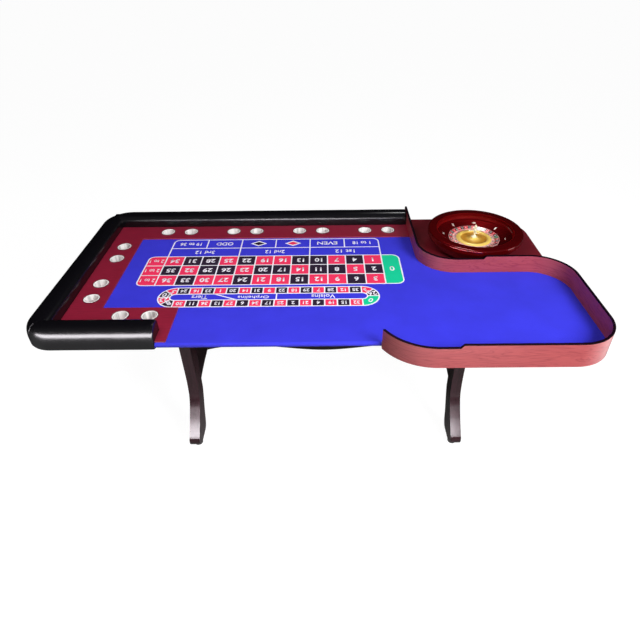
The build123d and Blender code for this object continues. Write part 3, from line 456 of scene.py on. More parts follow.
def join_rows(bm, a, b, closed=True):
    """Faces between two rows with the same number of vertices."""
    for i in range(len(a) if closed else len(a) - 1):
        j = (i + 1) % len(a)
        bm.faces.new((a[i], a[j], b[j], b[i]))


def add_slab(bm, outline, low, high):
    """A flat plate with the given outline."""
    bottom = [bm.verts.new((x, y, low)) for x, y in outline]
    top = [bm.verts.new((x, y, high)) for x, y in outline]
    bm.faces.new(bottom[::-1])
    bm.faces.new(top)
    join_rows(bm, bottom, top)


def add_band(bm, outer, inner, low, high):
    """A flat closed band between two outlines with the same number of points."""
    rows = [[bm.verts.new((x, y, z)) for x, y in line] for line in (outer, inner) for z in (low, high)]
    order = (rows[0], rows[1], rows[3], rows[2])
    for a, b in zip(order, order[1:] + order[:1]):
        join_rows(bm, a, b)


def add_ribbon(bm, one_side, other_side, low, high):
    """A flat open band between two lines with the same number of points."""
    rings = [[(*a, low), (*a, high), (*b, high), (*b, low)] for a, b in zip(one_side, other_side)]
    add_rings(bm, rings)


def add_rings(bm, rings):
    """A tube through rings with the same number of points."""
    rows = [[bm.verts.new(p) for p in ring] for ring in rings]
    for a, b in zip(rows, rows[1:]):
        join_rows(bm, a, b)
    bm.faces.new(rows[0][::-1])
    bm.faces.new(rows[-1])


def add_turned(bm, profile, centre, steps):
    """A turned body: a closed profile of (radius, height) round a vertical axis."""
    rings = []
    for i in range(steps):
        angle = 2 * math.pi * i / steps
        across = Vector((math.cos(angle), math.sin(angle), 0))
        rings.append([bm.verts.new(Vector(centre) + across * r + Vector((0, 0, z))) for r, z in profile])
    for a, b in zip(rings, rings[1:] + rings[:1]):
        join_rows(bm, a, b)
    bmesh.ops.remove_doubles(bm, verts=bm.verts, dist=1e-6)


def rounded(x0, y0, x1, y1, corners, inset=0.0):
    """Outline of a rectangle, with a radius for each corner: right far, left far, left near, right near."""
    places = ((x1, y1, 0), (x0, y1, 90), (x0, y0, 180), (x1, y0, 270))
    outline = []
    for (x, y, start), radius in zip(places, corners):
        inward_x = -1 if x == x1 else 1
        inward_y = -1 if y == y1 else 1
        bend = max(radius - inset, 0.0001)
        centre = (x + inward_x * (inset + bend), y + inward_y * (inset + bend))
        outline += arc(centre, bend, start, start + 90, CORNER_STEPS)
    return outline


def letters_mesh(text, weight):
    """Flat lettering in generic sans letters, centred on the origin, with its width and cap height."""
    curve = bpy.data.curves.new("letters", "FONT")
    curve.body = text
    curve.offset = weight
    curve.resolution_u = 3
    letters = bpy.data.objects.new("letters", curve)
    mesh = bpy.data.meshes.new_from_object(letters)
    bpy.data.objects.remove(letters)
    bpy.data.curves.remove(curve)
    xs = [v.co.x for v in mesh.vertices]
    ys = [v.co.y for v in mesh.vertices]
    mesh.transform(Matrix.Translation((-(max(xs) + min(xs)) / 2, -(max(ys) + min(ys)) / 2, 0)))
    return mesh, max(xs) - min(xs), max(ys) - min(ys)


def add_letters(bm, text, matrix, height, width=None, weight=0.012, like=None):
    """Lettering of a cap height and width in metres. With like, that text would have the width."""
    mesh, wide, tall = letters_mesh(text, weight)
    if like is not None:
        model, wide, _ = letters_mesh(like, weight)
        bpy.data.meshes.remove(model)
    across = height / tall if width is None else width / wide
    mesh.transform(matrix @ Matrix.Diagonal((across, height / tall, 1, 1)))
    bm.from_mesh(mesh)
    bpy.data.meshes.remove(mesh)


def thicken(bm, depth):
    """Gives flat lettering its thickness."""
    made = bmesh.ops.extrude_face_region(bm, geom=bm.faces[:])
    moved = [g for g in made["geom"] if isinstance(g, bmesh.types.BMVert)]
    bmesh.ops.translate(bm, verts=moved, vec=(0, 0, -depth))


# -------------------- the printed cloth
def spot(column, row):
    """A place on the layout, counted in cells from the line between the first two dozens."""
    return LAYOUT_X + column * CELL, LAYOUT_Y + row * CELL


def plate(columns, rows, inset=LINE / 2, corners=(0, 0, 0, 0)):
    """Outline of a printed box over a span of columns and rows."""
    x0, y0 = spot(columns[0], rows[0])
    x1, y1 = spot(columns[1], rows[1])
    return rounded(x0, y0, x1, y1, corners, inset)


BLOCK_LEFT = -8
BLOCK_RIGHT = 4
ROW_DEPTH = 1.004
ZERO_WIDTH = 0.97
DOZEN_ROW = (0.0, 0.96)
CHANCE_ROW = (0.96, 1.99)
CHANCE_ROUND = 0.035
ZERO_ROUND = 0.042
COLUMN_BET_ROUND = 0.034
RACE_LEFT = -6.665
RACE_RIGHT = 2.695
RACE_MIDDLE = -4.125
RACE_OUTER = 0.855
RACE_INNER = 0.275
RACE_CELLS = 15
TIERS_LINE = (-4.75, -3.55)
VOISINS_LINE = -1.59

# Lettering: cap height and width of a word in metres. Two digits are as wide as the sample is
SAMPLE_DIGITS = "34"
NUMBER_SIZE = (0.043, 0.052)
RACE_SIZE = (0.029, 0.034)
RACE_BEND_HEIGHT = 0.036
ZERO_SIZE = (0.048, 0.028)
COLUMN_BET_SIZE = (0.036, 0.080)
DOZEN_SIZE = (0.038, 0.118)
DOZENS = ("3rd 12", "2nd 12", "1st 12")
CHANCE_HEIGHT = 0.039
CHANCES = (("19 to 36", 0.132), ("ODD", 0.104), ("black", 0), ("red", 0), ("EVEN", 0.124), ("1 to 18", 0.110))
CALL_HEIGHT = 0.033
CALLS = (("Tiers", -5.45, 0.085), ("Orphelins", -2.75, 0.165), ("Voisins", 0.75, 0.125))
DIAMOND = (0.034, 0.0215)
DIAMOND_BORDER = (0.050, 0.034)

printed = {name: bmesh.new() for name in ("white", "red", "black", "green", "letters")}


def print_box(colour, columns, rows, corners=(0, 0, 0, 0)):
    outline = plate(columns, rows, corners=corners)
    add_slab(printed[colour], outline, FELT_TOP, FELT_TOP + PRINT_COLOUR)


def print_words(text, column, row, height, width=None, turn=0.0, weight=0.012, like=None):
    """Lettering that reads from the players' side."""
    x, y = spot(column, row)
    matrix = Matrix.Translation((x, y, FELT_TOP + PRINT_LETTER)) @ Matrix.Rotation(math.pi + turn, 4, "Z")
    add_letters(printed["letters"], text, matrix, height, width, weight, like)


def print_frame(columns, rows, radius):
    """A white line round three sides of a box. It is open towards the number block."""
    x0, y0 = spot(columns[0], rows[0])
    x1, y1 = spot(columns[1], rows[1])
    lines = []
    for side in (LINE / 2, -LINE / 2):
        line = [(x1 + side, y0 + LINE / 2)]
        line += arc((x1 - radius, y1 - radius), radius + side, 0, 90, 8)
        line += arc((x0 + radius, y1 - radius), radius + side, 90, 180, 8)
        line.append((x0 - side, y0 + LINE / 2))
        lines.append(line)
    add_ribbon(printed["white"], lines[0], lines[1], FELT_TOP, FELT_TOP + PRINT_WHITE)


def print_line(start, end):
    """A straight white line between two places on the layout. It stops where it meets other lines."""
    a = Vector(spot(*start))
    b = Vector(spot(*end))
    along = (b - a).normalized() * LINE / 2
    side = along.orthogonal()
    a += along
    b -= along
    outline = [tuple(p) for p in (a - side, b - side, b + side, a + side)]
    add_slab(printed["white"], outline, FELT_TOP, FELT_TOP + PRINT_WHITE)


def print_number_block():
    """Three rows of twelve numbers, the column bets and the zero."""
    near = -3 * ROW_DEPTH
    rounds = (ZERO_ROUND, COLUMN_BET_ROUND, COLUMN_BET_ROUND, ZERO_ROUND)
    ground = plate((BLOCK_LEFT - 1, BLOCK_RIGHT + ZERO_WIDTH), (near, 0), -LINE / 2, rounds)
    add_slab(printed["white"], ground, FELT_TOP, FELT_TOP + PRINT_WHITE)
    for row in range(3):
        far = -row * ROW_DEPTH
        rows = (far - ROW_DEPTH, far)
        middle = far - ROW_DEPTH / 2
        for column in range(12):
            number = 34 - 3 * column + row
            left = BLOCK_LEFT + column
            print_box(colour_of(number), (left, left + 1), rows)
            print_words(str(number), left + 0.5, middle, *NUMBER_SIZE, weight=0.03, like=SAMPLE_DIGITS)
        rounds = (0, COLUMN_BET_ROUND * (row == 0), COLUMN_BET_ROUND * (row == 2), 0)
        print_box("red", (BLOCK_LEFT - 1, BLOCK_LEFT), rows, rounds)
        print_words("2 to 1", BLOCK_LEFT - 0.5, middle, *COLUMN_BET_SIZE, weight=0.01)
    print_box("green", (BLOCK_RIGHT, BLOCK_RIGHT + ZERO_WIDTH), (near, 0), (ZERO_ROUND, 0, 0, ZERO_ROUND))
    print_words("0", BLOCK_RIGHT + 0.47, near / 2, *ZERO_SIZE)


def print_outside_bets():
    """Dozens, and the even-money bets beyond them."""
    print_frame((BLOCK_LEFT, BLOCK_RIGHT), (DOZEN_ROW[0], CHANCE_ROW[1]), CHANCE_ROUND)
    print_line((BLOCK_LEFT, DOZEN_ROW[1]), (BLOCK_RIGHT, DOZEN_ROW[1]))
    for index, text in enumerate(DOZENS):
        left = BLOCK_LEFT + 4 * index
        if index:
            print_line((left, DOZEN_ROW[0]), (left, DOZEN_ROW[1]))
        print_words(text, left + 2, sum(DOZEN_ROW) / 2, *DOZEN_SIZE, weight=0.02)
    middle = sum(CHANCE_ROW) / 2
    for index, (text, width) in enumerate(CHANCES):
        left = BLOCK_LEFT + 2 * index
        if index:
            print_line((left, CHANCE_ROW[0]), (left, CHANCE_ROW[1]))
        if width:
            print_words(text, left + 1, middle, CHANCE_HEIGHT, width, weight=0.02)
        else:
            print_diamond(text, left + 1, middle)


def print_diamond(colour, column, row):
    """A coloured diamond with a white border."""
    x, y = spot(column, row)
    layers = (("white", DIAMOND_BORDER, PRINT_WHITE), (colour, DIAMOND, PRINT_COLOUR))
    for name, (reach, depth), top in layers:
        outline = [(x + reach, y), (x, y + depth), (x - reach, y), (x, y - depth)]
        add_slab(printed[name], outline, FELT_TOP, FELT_TOP + top)


def race_outline(radius, inset):
    """Stadium outline of the racetrack, radius in cells."""
    bend = radius * CELL - inset
    right = arc(spot(RACE_RIGHT, RACE_MIDDLE), bend, -90, 90, BEND_STEPS)
    left = arc(spot(RACE_LEFT, RACE_MIDDLE), bend, 90, 270, BEND_STEPS)
    return right + left


def print_race_bend(column, number, start, end):
    """One number's share of a bend of the racetrack."""
    centre = spot(column, RACE_MIDDLE)
    outer = RACE_OUTER * CELL - LINE / 2
    inner = RACE_INNER * CELL + LINE / 2
    gap = math.degrees(LINE / 2 / outer)
    gap_inner = math.degrees(LINE / 2 / inner)
    sector = arc(centre, outer, start + gap, end - gap, CORNER_STEPS)
    sector += arc(centre, inner, end - gap_inner, start + gap_inner, CORNER_STEPS)
    add_slab(printed[colour_of(number)], sector, FELT_TOP, FELT_TOP + PRINT_COLOUR)
    middle = math.radians((start + end) / 2)
    reach = (RACE_OUTER + RACE_INNER) / 2
    lean = math.radians(((start + end) / 2 + 90) % 180 - 90) * 0.5
    place = (column + reach * math.cos(middle), RACE_MIDDLE + reach * math.sin(middle))
    print_words(str(number), *place, RACE_BEND_HEIGHT, turn=lean, weight=0.02)


def print_racetrack():
    """The wheel's order of numbers round an oval, with the three calls inside it."""
    outer = race_outline(RACE_OUTER, -LINE / 2)
    inner = race_outline(RACE_INNER, LINE / 2)
    add_band(printed["white"], outer, inner, FELT_TOP, FELT_TOP + PRINT_WHITE)
    far = (RACE_MIDDLE + RACE_INNER, RACE_MIDDLE + RACE_OUTER)
    near = (RACE_MIDDLE - RACE_OUTER, RACE_MIDDLE - RACE_INNER)
    pitch = (RACE_RIGHT - RACE_LEFT) / RACE_CELLS
    first_far = WHEEL_ORDER.index(24)
    first_near = WHEEL_ORDER.index(30)
    for index in range(RACE_CELLS):
        left = RACE_LEFT + index * pitch
        numbers = (WHEEL_ORDER[first_far + index], WHEEL_ORDER[first_near - index])
        for rows, number in zip((far, near), numbers):
            print_box(colour_of(number), (left, left + pitch), rows)
            place = (left + pitch / 2, sum(rows) / 2)
            print_words(str(number), *place, *RACE_SIZE, weight=0.03, like=SAMPLE_DIGITS)
    for index, number in enumerate((5, 10, 23, 8)):
        print_race_bend(RACE_LEFT, number, 90 + 45 * index, 135 + 45 * index)
    for number, start, end in ((3, 45, 90), (26, 0, 45), (0, -90, 0)):
        print_race_bend(RACE_RIGHT, number, start, end)
    print_line((TIERS_LINE[0], far[0]), (TIERS_LINE[1], near[1]))
    print_line((VOISINS_LINE, far[0]), (VOISINS_LINE, near[1]))
    for text, column, width in CALLS:
        print_words(text, column, RACE_MIDDLE, CALL_HEIGHT, width)


print_number_block()
print_outside_bets()
print_racetrack()
thicken(printed["letters"], PRINT_LETTER)
for name, bm in printed.items():
    colour = "white" if name == "letters" else name
    finish_piece(f"print_{name}", bm, f"print_{colour}", "table")


# -------------------- the blue cloth
FENCE_THICK = 0.012
BEND_MIDDLE = 0.196
BEND_FRONT_MIDDLE = 0.272
NOSE_RADIUS = (FELT_TOP - DECK_BOTTOM) / 2
FELT_THICK = 0.001
FELT_RETURN = 0.030
TRACK_FRONT_END = -0.697
TRACK_FRONT_FAR = -0.295
shelf_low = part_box("fence_back")[0]
bay_low, bay_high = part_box("fence_bay")
fence_left = shelf_low.x
fence_right = bay_high.x
fence_near = bay_low.y

# Bends of the fence, from its boxes: centres of the shelf bend, the two bay bends and the front curl
FRONT_CURL_X = 0.555
half_fence = FENCE_THICK / 2
shelf_y = shelf_low.y + half_fence
bend_shelf = (fence_left + half_fence + BEND_MIDDLE, shelf_y + BEND_MIDDLE)
bend_right = (fence_right - half_fence - BEND_MIDDLE, shelf_y - BEND_MIDDLE)
bend_bay = (bend_right[0], fence_near + half_fence + BEND_MIDDLE)
bend_front = (FRONT_CURL_X, fence_near + half_fence + BEND_FRONT_MIDDLE)
nose_low, nose_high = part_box("nose_moulding")
nose_axis_y = nose_high.y
felt_left = felt_low.x


def cloth_outline():
    """Outline of the cloth's flat top, from its far left corner, clockwise seen from above."""
    inside = BEND_MIDDLE - half_fence
    outside = BEND_MIDDLE + half_fence
    curl = BEND_FRONT_MIDDLE - half_fence
    edge = felt_high.y
    curl_end = 180 + math.degrees(math.asin((bend_front[1] - nose_axis_y) / curl))
    outline = [(felt_left, edge), (fence_left, edge)]
    outline += arc(bend_shelf, outside, 180, 270, BEND_STEPS)
    outline += arc(bend_right, inside, 90, 0, BEND_STEPS)
    outline += arc(bend_bay, inside, 0, -90, BEND_STEPS)
    outline += arc(bend_front, curl, 270, curl_end, 20)
    outline += [(TRACK_FRONT_END, nose_axis_y), (TRACK_FRONT_END, TRACK_FRONT_FAR)]
    outline.append((felt_left, TRACK_FRONT_FAR))
    return outline


def make_cloth():
    """The cloth: stretched over the playing area, rolled round the nose and tucked under the deck."""
    bm = bmesh.new()
    outline = cloth_outline()
    add_slab(bm, outline, FELT_TOP - FELT_THICK, FELT_TOP)
    axis_z = FELT_TOP - NOSE_RADIUS
    outer = arc((nose_axis_y, axis_z), NOSE_RADIUS, 90, 270, 20)
    inner = arc((nose_axis_y, axis_z), NOSE_RADIUS - FELT_THICK, 270, 90, 20)
    tuck = nose_axis_y + FELT_RETURN
    under = axis_z - NOSE_RADIUS
    section = outer + [(tuck, under), (tuck, under + FELT_THICK)] + inner
    run = nose_high.x - nose_low.x
    rings = [
        [(nose_low.x + run * i / BEND_STEPS, y, z) for y, z in section] for i in range(BEND_STEPS + 1)
    ]
    add_rings(bm, rings)
    cloth_piece = finish_piece("felt_top", bm, "felt_blue", "table", 40)
    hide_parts("felt_cloth")


make_cloth()

# -------------------- edge strip of the track, with a painted highlight
TRIM_WIDTH = 0.0028
TRIM_PROUD = 0.0004
# Painted highlight: the strip's lighter burgundy stands for the light caught by the track's inner edge.
dress(laminate, "track_trim", (0.28, 0.024, 0.055), 0.32)


def make_track_trim():
    """The narrow edge strip round the inside of the burgundy track, mitred at its corners. Its lighter colour
    is a painted highlight on the lit edge.
    """
    edge = felt_high.y
    corners = [
        ((fence_left, edge), (fence_left, edge - TRIM_WIDTH)),
        ((felt_left, edge), (felt_left + TRIM_WIDTH, edge - TRIM_WIDTH)),
        ((felt_left, TRACK_FRONT_FAR), (felt_left + TRIM_WIDTH, TRACK_FRONT_FAR + TRIM_WIDTH)),
        ((TRACK_FRONT_END, TRACK_FRONT_FAR), (TRACK_FRONT_END + TRIM_WIDTH, TRACK_FRONT_FAR + TRIM_WIDTH)),
        ((TRACK_FRONT_END, nose_axis_y), (TRACK_FRONT_END + TRIM_WIDTH, nose_axis_y)),
    ]
    top = TRACK_TOP + TRIM_PROUD
    rings = []
    for outer, inner in corners:
        middle = [(a + b) / 2 for a, b in zip(outer, inner)]
        inner_edge = [(*inner, TRACK_TOP - TRIM_WIDTH / 2), (*inner, FELT_TOP)]
        rings.append([(*outer, FELT_TOP), (*outer, top), (*middle, top), *inner_edge])
    bm = bmesh.new()
    add_rings(bm, rings)
    finish_piece("track_trim", bm, "track_trim", "table")


make_track_trim()

# -------------------- padded rail
rail_back_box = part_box("rail_pad_back")
rail_left_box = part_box("rail_pad_left")
rail_front_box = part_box("rail_pad_front")
RAIL_WIDTH = rail_left_box[1].x - rail_left_box[0].x
RAIL_HEIGHT = rail_back_box[1].z - FELT_TOP
CORNER_BACK = 0.180
CORNER_FRONT = 0.125
RAIL_WRAP = 0.022
RAIL_DROP = 0.009
RAIL_SWELL = 0.012
SWELL_START = 0.42
SWELL_END = -0.40
INNER_ROUND = 0.040
OUTER_ROUND = 0.054
OUTER_FULLNESS = 2.25
OUTER_STEPS = 18
RAIL_STEP = 0.015
rail_inner_left = track_low.x
rail_inner_back = rail_back_box[0].y
rail_inner_front = rail_front_box[1].y
rail_outer_left = cad_low.x
rail_outer_back = rail_back_box[1].y
rail_outer_front = rail_front_box[0].y


def rail_section():
    """Closed section of the rail as (distance from the inner face, height over the cloth)."""
    deck = DECK_TOP - FELT_TOP
    bottom = DECK_BOTTOM - FELT_TOP - RAIL_DROP
    side = RAIL_HEIGHT - INNER_ROUND
    points = [(0.0012, deck), (0.0004, 0.010), (0.0, 0.024), (0.0, 0.036)]
    points += arc((INNER_ROUND, side), INNER_ROUND, 180, 90, 12)
    for i in range(OUTER_STEPS + 1):
        turn = math.pi / 2 * (1 - i / OUTER_STEPS)
        across = max(math.cos(turn), 0.0) ** (2 / OUTER_FULLNESS)
        height = RAIL_HEIGHT * math.sin(turn) ** (2 / OUTER_FULLNESS)
        points.append((RAIL_WIDTH - OUTER_ROUND + OUTER_ROUND * across, height))
    points += [
        (RAIL_WIDTH - 0.0002, bottom / 2),
        (RAIL_WIDTH - 0.0006, bottom + 0.0070),
        (RAIL_WIDTH - 0.0018, bottom + 0.0030),
        (RAIL_WIDTH - 0.0045, bottom + 0.0006),
        (RAIL_WIDTH - 0.0080, bottom),
        (RAIL_WIDTH - RAIL_WRAP, bottom),
        (RAIL_WIDTH - RAIL_WRAP, deck),
    ]
    return points


def outward(points):
    """Outward direction at each point of a clockwise closed section."""
    directions = []
    for i in range(len(points)):
        (x0, z0), (x1, z1) = points[i - 1], points[(i + 1) % len(points)]
        directions.append(Vector((-(z1 - z0), x1 - x0)).normalized())
    return directions


section_points = rail_section()
section_out = outward(section_points)


class Ray:
    """A line across the rail in plan, from the inner face out to the rounded outer edge."""

    def __init__(self, inner, direction):
        self.inner = Vector(inner)
        self.direction = Vector(direction)
        self.reach, normal = outer_edge(self.inner, self.direction)
        self.inner_stretch = 1 / max(abs(self.direction.x), abs(self.direction.y))
        self.outer_stretch = 1 / normal.dot(self.direction)

    def ring(self, inset=0.0):
        """The rail's section on this line, drawn in by inset, with the slack of hand-pulled vinyl."""
        ring = []
        for (x, height), out in zip(section_points, section_out):
            if x < RAIL_WIDTH / 2:
                along = x * self.inner_stretch
            else:
                along = self.reach - (RAIL_WIDTH - x) * self.outer_stretch
            at = self.inner + self.direction * along
            point = Vector((at.x, at.y, FELT_TOP + height))
            slack = 0.0007 * noise.noise(point * 8.0) + 0.00022 * noise.noise(point * 37.0)
            move = slack - inset
            side = self.direction * out.x * move
            point += Vector((side.x, side.y, out.y * move))
            ring.append(point - Vector((swell(point), 0, 0)))
        return ring


def swell(point):
    """How far the left rail's padding swells outwards. It grows towards the dealer's corner."""
    across = min(max((rail_inner_left - point.x) / RAIL_WIDTH, 0.0), 1.0)
    along = min(max((SWELL_START - point.y) / (SWELL_START - SWELL_END), 0.0), 1.0)
    return RAIL_SWELL * across * along


def outer_edge(inner, direction):
    """How far the rail's outer edge is along a ray, and the edge's outward normal there."""
    reaches = []
    if direction.x < -1e-6:
        reaches.append(((rail_outer_left - inner.x) / direction.x, Vector((-1, 0))))
    if direction.y > 1e-6:
        reaches.append(((rail_outer_back - inner.y) / direction.y, Vector((0, 1))))
    if direction.y < -1e-6:
        reaches.append(((rail_outer_front - inner.y) / direction.y, Vector((0, -1))))
    reach, normal = min(reaches, key=lambda r: r[0])
    for side_y, bend, sign in ((rail_outer_back, CORNER_BACK, 1), (rail_outer_front, CORNER_FRONT, -1)):
        centre = Vector((rail_outer_left + bend, side_y - sign * bend))
        hit = inner + direction * reach
        if hit.x < centre.x and (hit.y - centre.y) * sign > 0:
            offset = inner - centre
            along = offset.dot(direction)
            reach = -along + math.sqrt(along * along - offset.length_squared + bend * bend)
            normal = (inner + direction * reach - centre) / bend
    return reach, normal


def straight_rays(start, end, direction):
    """Rays square across a straight run of the rail."""
    start = Vector(start)
    end = Vector(end)
    count = max(2, round((end - start).length / RAIL_STEP))
    return [Ray(start.lerp(end, i / count), direction) for i in range(count + 1)]


def corner_ray(pivot, degrees):
    """A ray swung about an inner corner."""
    return Ray(pivot, (math.cos(math.radians(degrees)), math.sin(math.radians(degrees))))


SEAM_ANGLES = range(42, 0, -3)
SEAM_CLOSE = ((0.12, 0.0022), (0.35, 0.0013), (0.8, 0.0006), (1.6, 0.0002))
WELT_RADIUS = 0.0016
WELT_SIDES = 10
END_CLOSE = ((0.0, 0.0100), (0.0006, 0.0068), (0.0020, 0.0040), (0.0045, 0.0019), (0.0075, 0.0006))


def seam_rays(pivot, seam, side):
    """Rays from a mitre seam to one side of a corner (+1 anticlockwise), with how far each is drawn in."""
    rays = [(corner_ray(pivot, seam + side * a), inset) for a, inset in SEAM_CLOSE]
    rays += [(corner_ray(pivot, seam + side * (45 - a)), 0.0) for a in SEAM_ANGLES]
    return rays


def end_rays(end, along, direction):
    """Rays that round off a cut end of the rail. along points from the end into the run."""
    return [(Ray(Vector(end) + Vector(along) * d, direction), inset) for d, inset in END_CLOSE]


def rail_pad(name, rays):
    bm = bmesh.new()
    add_rings(bm, [ray.ring(inset) for ray, inset in rays])
    pad = finish_piece(name, bm, "rail_vinyl", "table", 50)
    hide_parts(name.replace("cushion", "pad"))


def rail_welt(name, ray):
    """The narrow piped seam over a mitre."""
    across = Vector((-ray.direction.y, ray.direction.x, 0))
    path = list(zip(ray.ring(WELT_RADIUS / 2), section_out))[1:-3]
    angles = [2 * math.pi * i / WELT_SIDES for i in range(WELT_SIDES)]
    rings = []
    for point, out in path:
        outer = Vector((ray.direction.x * out.x, ray.direction.y * out.x, out.y))
        rings.append([point + (outer * math.cos(a) + across * math.sin(a)) * WELT_RADIUS for a in angles])
    bm = bmesh.new()
    add_rings(bm, rings)
    finish_piece(name, bm, "rail_vinyl", "table", 60)


def make_rail():
    back_pivot = (rail_inner_left, rail_inner_back)
    front_pivot = (rail_inner_left, rail_inner_front)
    back_end = (rail_back_box[1].x, rail_inner_back)
    front_end = (rail_front_box[1].x, rail_inner_front)
    up, left, down = (0, 1), (-1, 0), (0, -1)

    run = end_rays(back_end, (-1, 0), up)
    run += [(r, 0.0) for r in straight_rays(back_end, back_pivot, up)[1:]]
    run += seam_rays(back_pivot, 135, -1)[::-1]
    rail_pad("rail_cushion_back", run)

    run = seam_rays(back_pivot, 135, 1)
    run += [(r, 0.0) for r in straight_rays(back_pivot, front_pivot, left)]
    run += seam_rays(front_pivot, 225, -1)[::-1]
    rail_pad("rail_cushion_left", run)

    run = seam_rays(front_pivot, 225, 1)
    run += [(r, 0.0) for r in straight_rays(front_pivot, front_end, down)[:-1]]
    run += end_rays(front_end, (-1, 0), down)[::-1]
    rail_pad("rail_cushion_front", run)

    rail_welt("rail_welt_back", corner_ray(back_pivot, 135))
    rail_welt("rail_welt_front", corner_ray(front_pivot, 225))


make_rail()

# -------------------- drink cups
CUP_PROFILE = (
    (0.0, -0.0603), (0.0190, -0.0603), (0.0205, -0.0596), (0.0220, -0.0603), (0.0280, -0.0606),
    (0.0305, -0.0592), (0.0318, -0.0560), (0.0328, -0.0460), (0.0337, -0.0120), (0.0340, -0.0020),
    (0.0343, 0.0006), (0.0352, 0.0014), (0.0365, 0.0016), (0.0398, 0.0016), (0.0407, 0.0013),
    (0.0410, 0.0007), (0.0409, 0.0001), (0.0350, 0.0), (0.0348, -0.0120), (0.0338, -0.0460),
    (0.0330, -0.0570), (0.0308, -0.0610), (0.0280, -0.0620), (0.0, -0.0620),
)
CUP_STEPS = 64
# Profile of a dark ring round each cup's flange: a painted shadow where the cup meets the track.
CUP_SHADOW_RING_PROFILE = ((0.0412, 0.0), (0.0436, 0.0), (0.0436, 0.0010), (0.0428, 0.0018), (0.0412, 0.0018))


def make_cups():
    names = sorted(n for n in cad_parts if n.startswith("steel_cup_"))
    for name in names:
        low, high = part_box(name)
        centre = ((low.x + high.x) / 2, (low.y + high.y) / 2, TRACK_TOP)
        bm = bmesh.new()
        add_turned(bm, CUP_PROFILE, centre, CUP_STEPS)
        number = name[-2:]
        cup = finish_piece(f"drink_cup_{number}", bm, "cup_steel", f"cup_{number}", 40)
        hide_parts(name)
        # Painted shadow: a dark rubber ring round the flange stands for the contact shadow round the cup.
        bm = bmesh.new()
        add_turned(bm, CUP_SHADOW_RING_PROFILE, centre, CUP_STEPS)
        finish_piece(f"cup_shadow_ring_{number}", bm, "pad_rubber", "table", 40)


make_cups()

# -------------------- numbers on the wheel
RING_INNER = (0.1262, 0.0550)
RING_OUTER = (0.1443, 0.0627)
POCKET_INNER = 0.1066
POCKET_OUTER = 0.1234
POCKET_FLOOR = 0.0450
PLATE_THICK = 0.0003
NUMERAL_HEIGHT = 0.0110
RING_GAP = 0.22
POCKET_GAP = 0.35
SECTOR_STEPS = 4
SECTOR = 360 / len(WHEEL_ORDER)


def add_sector(bm, inner, outer, start, end):
    """A thin plate on a cone round the wheel's axis, from (radius, height) to (radius, height)."""
    rows = []
    for radius, height in (inner, outer):
        for lift in (0.0, PLATE_THICK):
            row = []
            for x, y in arc((WHEEL.x, WHEEL.y), radius, start, end, SECTOR_STEPS):
                row.append(bm.verts.new((x, y, SHELF_TOP + height + lift)))
            rows.append(row)
    order = (rows[0], rows[1], rows[3], rows[2])
    for a, b in zip(order, order[1:] + order[:1]):
        join_rows(bm, a, b, closed=False)
    for i in (0, SECTOR_STEPS):
        bm.faces.new([row[i] for row in order])


def make_wheel_numbers():
    """Coloured plates and numerals round the ring, and a painted floor in every pocket."""
    plates = {name: bmesh.new() for name in ("red", "black", "green")}
    numerals = bmesh.new()
    slope = math.atan2(RING_OUTER[1] - RING_INNER[1], RING_OUTER[0] - RING_INNER[0])
    middle = (RING_INNER[0] + RING_OUTER[0]) / 2
    level = (RING_INNER[1] + RING_OUTER[1]) / 2
    floor = ((POCKET_INNER, POCKET_FLOOR), (POCKET_OUTER, POCKET_FLOOR))
    ring_half = SECTOR / 2 - RING_GAP
    pocket_half = SECTOR / 2 - POCKET_GAP
    for index, number in enumerate(WHEEL_ORDER):
        angle = -index * SECTOR
        colour = colour_of(number)
        add_sector(plates[colour], RING_INNER, RING_OUTER, angle - ring_half, angle + ring_half)
        add_sector(plates[colour], *floor, angle - pocket_half, angle + pocket_half)
        matrix = (
            Matrix.Translation((WHEEL.x, WHEEL.y, SHELF_TOP + level))
            @ Matrix.Rotation(math.radians(angle), 4, "Z")
            @ Matrix.Translation((middle, 0, 0))
            @ Matrix.Rotation(-math.pi / 2, 4, "Z")
            @ Matrix.Rotation(slope, 4, "X")
            @ Matrix.Translation((0, 0, 2 * PLATE_THICK))
        )
        add_letters(numerals, str(number), matrix, NUMERAL_HEIGHT, weight=0.01)
    thicken(numerals, PLATE_THICK * 1.5)
    for name, bm in plates.items():
        finish_piece(f"wheel_plates_{name}", bm, f"enamel_{name}", "rotor")
    finish_piece("wheel_numerals", numerals, "enamel_white", "rotor")


make_wheel_numbers()


# -------------------- edges that catch the light
def ease_edges(node, width):
    """Rounds the sharp edges of a carried-over CAD piece in the picture."""
    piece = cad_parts[node]
    bevel = piece.modifiers.new("eased_edges", "BEVEL")
    bevel.width = width
    bevel.segments = 2
    bevel.limit_method = "ANGLE"
    bevel.angle_limit = math.radians(50)
    bevel.harden_normals = True


for side in ("left", "right"):
    for who in ("dealer", "player"):
        ease_edges(f"leg_{side}_{who}", 0.003)
    ease_edges(f"end_panel_{side}", 0.001)
    ease_edges(f"bearer_{side}", 0.002)


# -------------------- floor, camera and light
FLOOR_REACH = 60.0
FLOOR_THICK = 0.02
FLOOR_GREY = (0.16, 0.16, 0.16)


